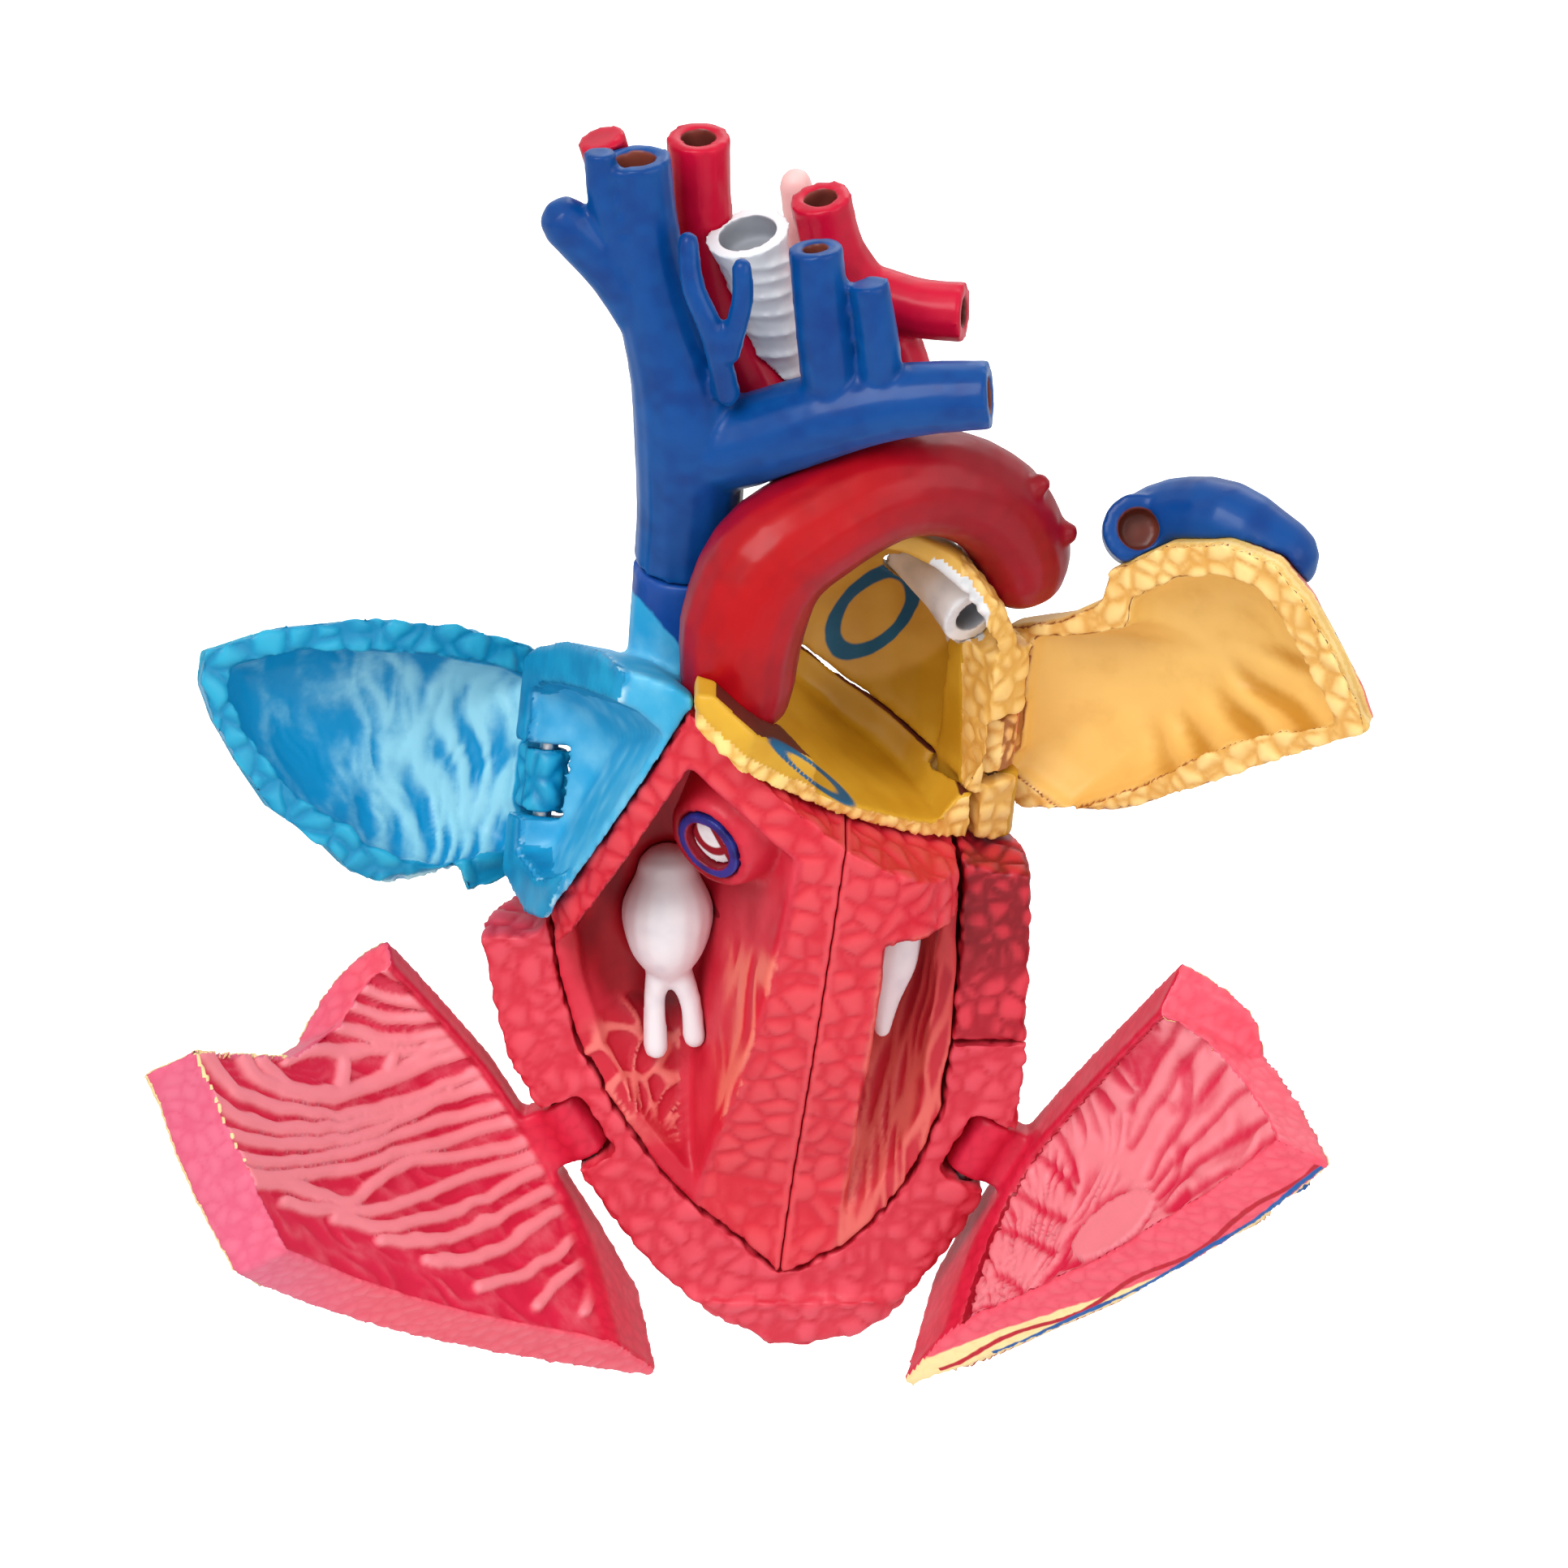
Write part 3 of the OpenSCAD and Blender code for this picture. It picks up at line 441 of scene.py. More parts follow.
def painted(name, coats, roughness=0.42, gloss=0.0, grain=0.04, mottle=0.1, specular=0.3):
    """A painted vinyl. Each coat is (mask or None, hollow colour, proud colour, settings)."""
    material = bpy.data.materials.new(name)
    material.use_nodes = True
    nodes = Nodes(material.node_tree)
    shader = material.node_tree.nodes["Principled BSDF"]
    place = nodes.put('ShaderNodeTexCoord').outputs["Object"]
    colour = None
    for mask, hollow, proud, settings in coats:
        relief_name = settings.get("relief", "relief")
        relief = nodes.put('ShaderNodeAttribute', attribute_name=relief_name).outputs["Fac"]
        brush = nodes.put('ShaderNodeGroup', node_tree=DRY_BRUSH)
        for key, value in (("Place", place), ("Relief", relief)):
            nodes.link(value, brush.inputs[key])
        brush.inputs["Hollow"].default_value = paint(*hollow)
        brush.inputs["Proud"].default_value = paint(*proud)
        brush.inputs["Level"].default_value = settings.get("level", 0.5)
        brush.inputs["Softness"].default_value = settings.get("soft", 0.4)
        brush.inputs["Unevenness"].default_value = settings.get("uneven", 0.35)
        if mask is None:
            colour = brush.outputs["Color"]
            continue
        edge = nodes.put('ShaderNodeGroup', node_tree=PAINT_EDGE)
        nodes.link(place, edge.inputs["Place"])
        distance = nodes.put('ShaderNodeAttribute', attribute_name=mask).outputs["Fac"]
        nodes.link(distance, edge.inputs["Distance"])
        edge.inputs["Softness"].default_value = settings.get("edge", 0.15)
        edge.inputs["Wobble"].default_value = settings.get("wobble", 0.3)
        colour = nodes.mix(edge.outputs["Mask"], colour, brush.outputs["Color"])
    shade = nodes.put('ShaderNodeGroup', node_tree=MOTTLE)
    nodes.link(place, shade.inputs["Place"])
    nodes.link(colour, shade.inputs["Color"])
    shade.inputs["Amount"].default_value = mottle
    nodes.link(shade.outputs["Color"], shader.inputs["Base Color"])
    skin_grain = nodes.put('ShaderNodeGroup', node_tree=GRAIN)
    nodes.link(place, skin_grain.inputs["Place"])
    bump = nodes.put('ShaderNodeBump', {"Height": skin_grain.outputs["Height"], "Strength": 0.5,
                                        "Distance": grain * MM})
    nodes.link(bump.outputs[0], shader.inputs["Normal"])
    shine = nodes.math('ADD', skin_grain.outputs["Gloss"], roughness)
    nodes.link(shine, shader.inputs["Roughness"])
    shader.inputs["Specular IOR Level"].default_value = specular
    shader.inputs["Coat Weight"].default_value = gloss
    shader.inputs["Coat Roughness"].default_value = 0.18
    return material


PEBBLE_RED = ((202, 40, 60), (222, 76, 92), {"level": 0.42, "soft": 0.5})
FAT = ((236, 178, 98), (253, 222, 160), {"level": 0.3, "wobble": 0.6})
OUTSIDE_RED = ((186, 30, 50), (226, 80, 90), {"level": 0.45})
CORONARIES = [("artery", (166, 12, 34), (190, 18, 42), {"edge": 0.1, "wobble": 0.1}),
              ("vein", (12, 70, 140), (22, 96, 168), {"edge": 0.1, "wobble": 0.1})]
SEAM_LINE = ("seam", (140, 8, 28), (160, 14, 36), {"edge": 0.1, "wobble": 0.05})

shell_paint = painted("Rear muscle red", [
    (None, *PEBBLE_RED), ("outside", *OUTSIDE_RED), ("fat", *FAT), *CORONARIES])
panel_paint = painted("Panel crimson", [
    (None, (170, 16, 38), (222, 62, 78), {"level": 0.45, "soft": 0.5}),
    ("shade", (128, 10, 26), (196, 44, 58), {"edge": 3.0, "wobble": 1.0}),
    ("outside", *OUTSIDE_RED), ("fat", *FAT), *CORONARIES])
right_paint = painted("Right ventricle", [
    (None, (206, 30, 50), (222, 70, 80), {"level": 0.42, "soft": 0.5}),
    ("chamber", (196, 26, 50), (216, 56, 74), {"edge": 0.4}),
    ("net", (198, 34, 54), (232, 118, 112), {"level": 0.62, "soft": 0.3, "edge": 1.5}),
    ("stripes", (210, 34, 54), (232, 120, 104), {"level": 0.7, "soft": 0.25, "edge": 1.2}),
    # The hollow coat is painted shade: darker crimson deep in the chamber behind the valve.
    ("hollow", (128, 6, 20), (178, 18, 34), {"edge": 1.6, "wobble": 1.0}), SEAM_LINE])
left_paint = painted("Left ventricle", [
    (None, (206, 30, 50), (222, 70, 80), {"level": 0.42, "soft": 0.5}),
    ("chamber", (196, 42, 56), (222, 104, 96), {"level": 0.6, "soft": 0.4, "edge": 0.4}),
    # The hollow coat is painted shade: darker red towards the top of the chamber, under the atrium.
    ("hollow", (170, 26, 40), (198, 60, 62), {"edge": 2.5, "wobble": 1.0}), SEAM_LINE])
white_paint = painted("Valve white", [(None, (206, 210, 218), (236, 237, 240), {"level": 0.3})],
                      roughness=0.5, mottle=0.03)
ring_paint = painted("Ring navy", [(None, (16, 24, 92), (36, 50, 140), {"level": 0.4}),
                                   ("inner", (120, 10, 26), (150, 20, 40), {"wobble": 0.1})],
                     roughness=0.35)
leaflet_paint = painted("Leaflets", [
    (None, (226, 222, 226), (240, 240, 242), {"level": 0.3}),
    ("lines", (140, 12, 30), (150, 20, 36), {"edge": 0.08, "wobble": 0.15})],
    roughness=0.45, mottle=0.03)
atrium_paint = painted("Atrium light blue", [
    (None, (40, 158, 208), (176, 222, 238), {"level": 0.6, "soft": 0.35}),
    ("bowl", (0, 124, 174), (24, 160, 204), {"edge": 0.5}),
    ("outside", (44, 164, 212), (120, 200, 230), {"level": 0.6}),
    ("neck", (12, 62, 142), (20, 78, 160), {"edge": 0.2, "wobble": 1.0})])
teal_paint = painted("Atrium teal", [
    (None, (0, 132, 178), (44, 172, 208), {"level": 0.5, "soft": 0.5}),
    ("inside", (0, 142, 194), (150, 214, 230), {"level": 0.64, "soft": 0.28, "edge": 0.6}),
    ("outside", (0, 136, 180), (70, 184, 212), {"level": 0.6})], roughness=0.38)
floor_paint = painted("Atrium ochre floor", [
    (None, (224, 166, 72), (252, 218, 136), {"level": 0.42, "soft": 0.5}),
    ("inside", (204, 150, 32), (216, 166, 46), {"level": 0.4, "edge": 0.5}),
    ("shade", (178, 126, 18), (190, 140, 26), {"edge": 2.0, "wobble": 1.0}),
    ("seam", (80, 30, 24), (96, 40, 30), {"edge": 0.1, "wobble": 0.1}),
    ("ring", (8, 84, 124), (20, 100, 140), {"edge": 0.08, "wobble": 0.05})])
back_paint = painted("Atrium ochre back", [
    (None, (206, 154, 62), (222, 174, 78), {"level": 0.4}),
    ("shade", (190, 140, 30), (204, 156, 44), {"edge": 0.8, "wobble": 0.5}),
    ("plate", (220, 168, 80), (240, 200, 122), {"level": 0.5}),
    ("white", (214, 216, 218), (238, 238, 238), {"edge": 0.12, "wobble": 1.6}),
    ("ring", (8, 84, 124), (20, 100, 140), {"edge": 0.1, "wobble": 0.3})])
ochre_door_paint = painted("Atrium ochre door", [
    (None, (222, 164, 78), (250, 216, 140), {"level": 0.42, "soft": 0.5}),
    ("inside", (198, 142, 52), (240, 196, 110), {"level": 0.4, "edge": 0.4}),
    ("brown", (164, 100, 48), (232, 178, 108), {"level": 0.5, "soft": 0.25, "edge": 0.5, "uneven": 0.9}),
    ("outside", (222, 92, 92), (240, 146, 132), {"level": 0.45}),
    ("cream", (240, 196, 130), (253, 230, 182), {"level": 0.4, "wobble": 0.8}),
    ("groove", (110, 50, 24), (130, 64, 30), {"edge": 0.1, "wobble": 0.1}), *CORONARIES])
artery_paint = painted("Artery red", [
    (None, (160, 4, 12), (178, 6, 14), {"level": 0.3}),
    # This coat is painted shade: darker magenta where the aorta turns away from the front.
    ("edge_light_shade", (122, 6, 40), (140, 10, 48), {"edge": 1.6, "wobble": 0.8}),
    ("dark", (138, 10, 26), (152, 12, 30), {"edge": 5.0, "wobble": 1.0})],
    roughness=0.36, gloss=0.1, grain=0.015, mottle=0.08, specular=0.18)
neck_artery_paint = painted("Neck artery crimson", [
    (None, (180, 6, 42), (204, 12, 52), {"level": 0.3}),
    ("hole", (96, 40, 34), (128, 62, 52), {"edge": 0.1, "wobble": 0.15})],
    roughness=0.36, gloss=0.1, grain=0.015, mottle=0.08, specular=0.18)
maroon_paint = painted("Artery maroon", [(None, (96, 6, 26), (132, 12, 40), {"level": 0.4})],
                       roughness=0.4)
vein_paint = painted("Vein blue", [
    (None, (0, 50, 120), (2, 68, 138), {"level": 0.4}),
    # This coat is painted light: a paler blue sheen where the veins turn away from the front.
    ("edge_light_shade", (0, 76, 142), (8, 92, 166), {"edge": 1.6, "wobble": 0.8}),
    ("hole", (98, 44, 34), (134, 68, 54), {"edge": 0.1, "wobble": 0.15})],
    roughness=0.36, gloss=0.1, grain=0.015, mottle=0.1, specular=0.18)
windpipe_paint = painted("Cartilage white", [
    (None, (192, 200, 210), (244, 245, 247), {"level": 0.38, "soft": 0.3}),
    ("hole", (140, 142, 150), (160, 163, 170), {"edge": 0.12, "wobble": 0.3})],
    roughness=0.48, mottle=0.04)
gullet_paint = painted("Gullet pink", [(None, (226, 150, 148), (248, 202, 198), {"level": 0.4})])
door_paint = painted("Door pink", [
    (None, (210, 34, 70), (238, 136, 146), {"level": 0.5, "soft": 0.34, "uneven": 0.35}),
    ("band", (210, 62, 102), (224, 106, 134), {"level": 0.45, "soft": 0.5, "edge": 0.3}),
    ("coral", (220, 48, 76), (236, 92, 110), {"level": 0.45, "soft": 0.5, "edge": 4.0}),
    ("rim", (186, 14, 48), (212, 34, 66), {"edge": 0.3}),
    SEAM_LINE, ("outside", *OUTSIDE_RED), ("fat", *FAT), *CORONARIES])


# ---- Looks of the pieces ----------------------------------------------------------------------

# The seam down the septum: where it starts, and its lean to the right for each mm up.
SEAM_FOOT = -2.8
SEAM_SLOPE = 0.123
SEPTUM_HALF = 6
SEPTUM_FLARE = 22
# The top of the ventricles under the atria, across and up, and the band left above the chambers.
ROOF = [(-60, 49), (-27.4, 49), (-25, 55.5), (-11, 80.5), (-3.4, 73.2), (5.1, 65.4), (12.8, 60.2),
        (20.4, 56.5), (60, 52)]
CHAMBER_BAND = 6.5
# How far the ventricles stand out to the front, and the share of that at each height.
FRONT_D = 21
FRONT_SHARE = [(0, 0.02), (5, 0.04), (8, 0.09), (13, 0.21), (19, 0.34), (26, 0.48), (34, 0.63),
               (42, 0.75), (52, 0.87), (64, 0.96), (72, 1)]


def roof_z(x):
    return np.interp(x, [q[0] for q in ROOF], [q[1] for q in ROOF])


def seam_side(p):
    """Distance to the right of the septum's seam."""
    return (p[:, 0] - SEAM_FOOT - SEAM_SLOPE * p[:, 2]) / math.hypot(1, SEAM_SLOPE)


def muscle_outside(p):
    """Soft fibres and dents on the outside of the heart."""
    swirl = np.stack([p[:, 0] + 0.6 * p[:, 2], p[:, 1], 0.4 * p[:, 2] - 0.3 * p[:, 0]], 1)
    fibre = 0.5 + 0.5 * noise(swirl * [1, 1, 0.35], 2.6, 31)
    fine = 0.5 + 0.5 * noise(swirl * [1, 1, 0.3], 1.1, 32)
    return 0.7 * fibre + 0.3 * fine


def outside_of(p, n, centre):
    """1 where a surface faces away from a centre."""
    return step(np.einsum("ij,ij->i", unit_rows(p - np.array(centre)), n), 0.15, 0.35)


def unit_rows(v):
    return v / np.maximum(np.linalg.norm(v, axis=1, keepdims=True), 1e-9)


# Coronary vessels, seen from the front on the doors and from behind on the shell: across and up.
FRONT_ARTERIES = [[(3.2, 62), (4.6, 52), (4.4, 42), (2.4, 32), (1.2, 22), (-0.6, 12)],
                  [(4.6, 49), (9, 42), (11.5, 34), (12, 27)],
                  [(3.4, 37), (7, 31), (8.4, 24)],
                  [(-31, 50), (-26, 44), (-20, 40), (-15, 33)],
                  [(-27, 45), (-24, 36), (-18, 27), (-11, 19)]]
FRONT_VEINS = [[(5.4, 60), (7.4, 50), (6.4, 40), (4.6, 30), (2.8, 20), (1, 12)],
               [(7.2, 47), (12, 40), (15, 32)],
               [(-22, 42), (-20, 34), (-14, 25), (-8, 17)]]
REAR_ARTERIES = [[(14, 58), (6, 54), (2, 46), (2.6, 36), (0.4, 26), (0.8, 16), (-0.6, 8)],
                 [(2.4, 42), (-5, 36), (-9, 27)],
                 [(1.2, 30), (7, 24), (8, 16)],
                 [(-30, 50), (-18, 54), (-8, 53), (2, 48)]]
REAR_VEINS = [[(20, 54), (10, 51), (4.6, 44), (4.8, 34), (3, 24), (3, 14)],
              [(4.8, 40), (11, 34), (15, 26)],
              [(3.4, 27), (-3, 22), (-6, 15)]]


def coronary(x, z, lines, half=0.45):
    """Distance inwards from the painted edge of the coronary vessels."""
    return half - lines_distance(x, z, lines)


def fat_distance(p):
    """How far a point lies inside the yellow fat under the atria and along the vessels behind."""
    under_atria = 1.6 - np.abs(p[:, 2] - np.minimum(roof_z(p[:, 0]), 60) + 4)
    groove = 1.7 - lines_distance(p[:, 0], p[:, 2], [REAR_ARTERIES[0], REAR_VEINS[0]])
    groove = np.where(p[:, 1] > 4, groove, -5)
    lumps = 1.5 * noise(p, 5, 41) + 0.6 * noise(p, 2, 42)
    return np.maximum(under_atria, groove) + lumps


def shell_look(p, n, place):
    x, y, z = p.T
    cobble = pebbles(p * [1, 0.7, 1], 2.5, 1)
    back = step(y, 3.5, 6) * outside_of(p, n, (-3, 0, 38)) * (1 - step(n[:, 2], 0.5, 0.7))
    fat = np.where(back > 0.3, fat_distance(p), -5)
    artery = np.where(back > 0.5, coronary(x, z, REAR_ARTERIES), -5)
    vein = np.where(back > 0.5, coronary(x, z, REAR_VEINS, 0.6), -5)
    fibre = muscle_outside(p)
    relief = blend(cobble, blend(fibre, 0.8 + 0.2 * fibre, step(fat, -0.5, 0.5)), back)
    raised = 0.25 * step(fat, 0, 1.2) + 0.45 * step(np.maximum(artery, vein), -0.2, 0.4)
    cut = blend(0.42 * (1 - cobble), 0.22 * (1 - fibre) - raised, back)
    return cut, {"relief": relief, "outside": back * 2 - 1, "fat": fat, "artery": artery, "vein": vein,
                 "shade": step(z, 40, 50) * 4 - 2}


def septum_cobble(p):
    """Cobbles of the septum's front, which fade out along its seam, and the seam's dark line."""
    beside = np.abs(seam_side(p))
    cobble = blend(1, pebbles(p * [1, 0.8, 1], 2.9, 2), step(beside, 0.25, 0.9))
    return cobble, np.where(p[:, 1] < 2, 0.05 - beside, -3)


def insert_cap(p):
    """How far the insert's edges may be rounded: little at the seam and more at the septum's corners."""
    return 0.04 + 0.86 * step(np.abs(seam_side(p)), 2, 4.5)


# In the front view: the eye-shaped knot of muscle on the septum's slope, the middle from which the
# net of muscle spreads, and the fold beside the pulmonary valve.
MUSCLE_EYE = (-6.8, 22.1)
NET_MIDDLE = (-16, 22)
VALVE_FOLD = [(-13.6, 58.2), (-11.6, 53), (-8.2, 46.4)]


def right_insert_look(p, n, place):
    a, b = place
    x, y, z = p.T
    tilt = math.atan(SEAM_SLOPE)
    flare = math.radians(SEPTUM_FLARE)
    plane = np.array([math.cos(flare) * math.cos(tilt), math.sin(flare),
                      -math.cos(flare) * math.sin(tilt)])
    depth_in = -(p - [SEAM_FOOT - SEPTUM_HALF, -FRONT_D / 2, 0]) @ plane
    chamber = np.minimum(depth_in + 0.7, roof_z(x) - CHAMBER_BAND - z + 0.6)
    chamber = np.minimum(chamber, 3)
    slope = (chamber > 0) & (np.abs(depth_in) < 1.2)
    cobble, seam = septum_cobble(p)
    inside = step(chamber, -0.2, 0.6)
    stripes = strands(b, a - 0.18 * b + 1.2 * noise(p, 8, 7), 14, 1.5, 5, 0.6)
    r, angle = fan(a, b, NET_MIDDLE)
    net = blend(0.5, strands(r, angle / 12 + noise(p, 6, 8), 4.2, 1.15, 6, 0.36), step(r, 2, 5))
    ringed = 0.5 + 0.5 * np.cos(oval(a, b, MUSCLE_EYE, (1.2, 2.2)) * 7)
    near_eye = step(oval(a, b, MUSCLE_EYE, (2.4, 4.0)), 0, 0.8)
    stripes = blend(stripes, ringed, near_eye)
    stripes_at = np.where(slope, 3.2 - np.abs(a + 5.0 - 0.06 * (b - 28)) + 0.6 * noise(p, 4, 12), -3.0)
    stripes_at = np.minimum(stripes_at, (43 - b) * 0.5)
    net_at = np.minimum(oval(a, b, (-15.5, 30), (8.5, 8.0)), 2.5) + 1.2 * noise(p, 5, 9)
    net_at = np.where(slope | (chamber < 0.2), -4, net_at)
    # Painted shade: the hollow is darker deep in the upper chamber, and more so further back.
    hollow = np.minimum(oval(a, b, (-16.0, 48), (9.0, 11.5)), 3) + step(y, 2, 10) * 1.5
    hollow = np.where(slope | (chamber < 0.3), -4, hollow)
    stripes_share = step(stripes_at, -1, 1)
    net_share = step(net_at, -1, 1)
    carved = np.where(slope, 1 - 0.5 * (1 - stripes) * stripes_share, 1 - (1 - net) * net_share)
    soft = 0.5 + 0.4 * noise(p * [1, 1, 0.5], 2.4, 10)
    shown = np.where(slope, blend(soft, stripes, stripes_share), blend(soft, net, net_share))
    relief = blend(cobble, shown, inside)
    cut = blend(0.45 * (1 - cobble), 0.5 * (1 - carved), inside)
    fold = np.where(inside > 0.5, 0.28 - line_distance(a, b, smooth_line(VALVE_FOLD)), -3)
    return cut, {"relief": relief, "chamber": chamber, "net": net_at, "stripes": stripes_at,
                 "hollow": hollow, "seam": np.maximum(seam, fold)}


LEFT_CHAMBER_TOP = 53.1


def left_insert_look(p, n, place):
    a, b = place
    edge = seam_side(p) - SEPTUM_HALF
    chamber = np.minimum(np.minimum(edge + 0.6, LEFT_CHAMBER_TOP - p[:, 2]), 3)
    cobble, seam = septum_cobble(p)
    inside = step(chamber, -0.2, 0.6)
    streak = strands(b - 0.5 * a, a - 0.12 * b + 1.0 * noise(p, 6, 17), 9, 1.5, 15, 0.55)
    # Painted shade: the hollow grows darker towards the top of the chamber, under the atrium.
    hollow = np.where(chamber < 0.3, -4, np.minimum((b - 34) * 0.3, 3) + noise(p, 5, 18))
    relief = blend(cobble, streak, inside)
    cut = blend(0.45 * (1 - cobble), 0.3 * (1 - streak), inside)
    return cut, {"relief": relief, "chamber": chamber, "hollow": hollow, "seam": seam}


def plain_look(amount=0.05):
    """A nearly smooth moulding with slight dents."""
    def look(p, n, place):
        dent = 0.5 + 0.5 * noise(p, 1.6, 3)
        return amount * (1 - dent), {"relief": 0.35 + 0.5 * dent}
    return look


RIGHT_ATRIUM_AT = (-16, 14, 64)


def right_atrium_look(p, n, place):
    a, b = place
    out = door_place(p, "ra_door")[2]
    cobble = pebbles(p, 2.2, 4)
    facing_in = np.einsum("ij,ij->i", p - np.array(RIGHT_ATRIUM_AT), n) < 0
    bowl = np.where(out < 2.9, 1.0, -1.0) * np.where(facing_in, 1, -1)
    bowl = np.where(p[:, 2] > 84, -1.0, bowl)
    neck = np.where(p[:, 2] > 64, (b - 79.5 + 1.14 * (a + 16.2)) * 0.66, -3)
    outside = np.where((bowl < 0) & (out < 2.2), 1.0, -1.0)
    face = step(out, 2.2, 2.9) * step(-bowl, -0.5, 0.5)
    relief = blend(0.45 + 0.3 * noise(p, 2.0, 5), cobble, face)
    return 0.42 * (1 - cobble) * face, {"relief": relief, "bowl": bowl, "outside": outside, "neck": neck}


# The middle of the left atrium's hollow, and the floor's height above the ventricles at the seam with
# the back and at the top of the cobbled front rim.
LEFT_ATRIUM_AT = (7, 2.5, 76)
FLOOR_H = 6
FLOOR_RIM_H = 2.6


def atrium_floor_look(p, n, place):
    a, b = place
    height = p[:, 2] - roof_z(p[:, 0])
    outward = np.einsum("ij,ij->i", unit_rows(p - np.array(LEFT_ATRIUM_AT)), n)
    before = p[:, 1] < 2
    smooth = (n[:, 2] > 0.4) | (outward < -0.1) | (before & (height > FLOOR_RIM_H))
    inside = np.where(smooth, 1.0, -1.0)
    cobble = pebbles(p, 2.3, 6)
    ring = np.where(before, 0.2 - np.abs(oval(a, b, (1.7, 61.5), (4.5, 0.75), -38)), -3)
    seam = np.where(outward < -0.1, 0.25 - np.abs(height - FLOOR_H), -2)
    shade = np.where(inside > 0, oval(a, b, (8, 66), (6.5, 4.2), -38), -4)
    soft = 0.5 + 0.4 * noise(p, 3, 7)
    flat = step(inside, -0.2, 0.2)
    cut = blend(0.38 * (1 - cobble), 0.05 * (1 - soft), flat)
    return cut, {"relief": blend(cobble, soft, flat), "inside": inside, "shade": shade, "seam": seam,
                 "ring": ring}


def atrium_back_look(p, n, place):
    a, b = place
    ring = 0.6 - np.abs(oval(a, b, (8.2, 78.5), (5.2, 3.0), 45))
    shade = 71.5 - b + 0.06 * (a - 8) ** 2
    plate = np.where((a > 17.4) & (p[:, 1] < 8), 1.0, -1.0)
    white = oval(a, b, (17.0, 79.6), (2.9, 5.0), 14) + 0.5 * noise(p, 1.6, 19)
    cobble = pebbles(p, 2.3, 8)
    flat = step(plate, -0.2, 0.2)
    outside = outside_of(p, n, LEFT_ATRIUM_AT)
    dent = 0.5 + 0.5 * noise(p, 3, 9)
    ring = np.where(outside > 0.5, -3, ring)
    white = np.where(outside > 0.5, -3, white)
    cut = blend(0.06 * (1 - dent), 0.36 * (1 - cobble), flat)
    return cut, {"relief": blend(dent, cobble, flat), "shade": shade, "plate": plate, "white": white,
                 "ring": ring}


def turned_light_shade(n):
    """Where a surface turns away from the front, for the painted light and shade along the vessels' edges.
    """
    e = math.radians(VIEW_ELEVATION)
    facing = n @ np.array([0, -math.cos(e), math.sin(e)])
    return (0.5 - facing) * 3


def hole_distance(p, mouths):
    """How far a point lies inside the nearest vessel mouth."""
    best = np.full(len(p), -3.0)
    for end, into, radius in mouths:
        way = unit(np.array(into) - np.array(end))
        q = p - np.array(end)
        along = q @ way
        off = np.linalg.norm(q - np.outer(along, way), axis=1)
        best = np.maximum(best, np.where((along > -0.4) & (along < 4), radius + 0.12 - off, -3))
    return best


def vessel_look(mouths=(), seed=20, dark_from=None):
    """A smooth tube with brown mouths, which grows darker to the right of dark_from."""
    def look(p, n, place):
        dent = 0.5 + 0.5 * noise(p, 4, seed)
        fine = 0.5 + 0.5 * noise(p, 1.3, seed + 1)
        dark = (place[0] - dark_from) * 0.6 if dark_from else np.full(len(p), -9.0)
        # The edge value paints light and shade on the tube where it turns away from the front.
        return 0.08 * (1 - dent) + 0.03 * (1 - fine), {
            "relief": 0.5 * dent + 0.5 * fine, "edge_light_shade": turned_light_shade(n), "hole": hole_distance(p, mouths),
            "dark": dark}
    return look


# Vessel mouths: the middle of the end, a point farther in, and the radius.
CAVA_MOUTHS = [((-16.5, 1.5, 136.5), (-15.5, 1.5, 127.5), 2.1), ((20, -4, 112.5), (11, -3, 111.5), 1.9),
               ((2, -3, 128.5), (3, -3, 118), 1.2)]
ARTERY_MOUTHS = [((-10, 10, 135.5), (-9.5, 11, 125), 1.7), ((2.5, 7, 130), (4, 8, 123.5), 1.6),
                 ((17.5, 6, 117.5), (13, 7, 117.5), 1.5)]
WINDPIPE_MOUTH = [((-5, 6, 126.5), (-4, 7, 122), 2.9)]
BRONCHUS_MOUTH = [((18.6, 5.8, 83.2), (16.2, 9.6, 84.8), 1.9)]
# In the door's own places: across, up and out, with the way into the collar.
PULMONARY_MOUTH_DOOR = ((11.4, 27.1, -2.7), (9.6, 24, -6.5), 2.1)


def windpipe_look(p, n, place):
    hoop = 0.5 + 0.5 * noise(p * [0.6, 0.6, 1.4], 1.2, 51)
    lump = 0.5 + 0.5 * noise(p, 2.4, 52)
    relief = 0.45 * hoop + 0.55 * lump
    return 0.25 * (1 - relief), {"relief": 0.25 + relief, "hole": hole_distance(p, WINDPIPE_MOUTH)}


def bronchus_look(p, n, place):
    lump = 0.5 + 0.5 * noise(p, 2.0, 53)
    return 0.12 * (1 - lump), {"relief": 0.3 + 0.6 * lump, "hole": hole_distance(p, BRONCHUS_MOUTH)}


# The pulmonary valve's ring: its middle, its turn aside and its tilt, and its bore's radius.
VALVE_RING_AT = (-9, -8.5, 63.5)
VALVE_RING_TURN = -38
VALVE_RING_TILT = 18
VALVE_RING_BORE = 2.95


def ring_look(p, n, place):
    dent = 0.5 + 0.5 * noise(p, 1.2, 54)
    way = ring_way()
    q = p - np.array(VALVE_RING_AT)
    off = np.linalg.norm(q - np.outer(q @ way, way), axis=1)
    return 0.05 * (1 - dent), {"relief": dent, "inner": VALVE_RING_BORE - off}


def ring_way():
    """The way out of the pulmonary valve's ring."""
    turn, tilt = math.radians(VALVE_RING_TURN), math.radians(VALVE_RING_TILT)
    return np.array([math.sin(turn), -math.cos(turn) * math.cos(tilt), -math.cos(turn) * math.sin(tilt)])


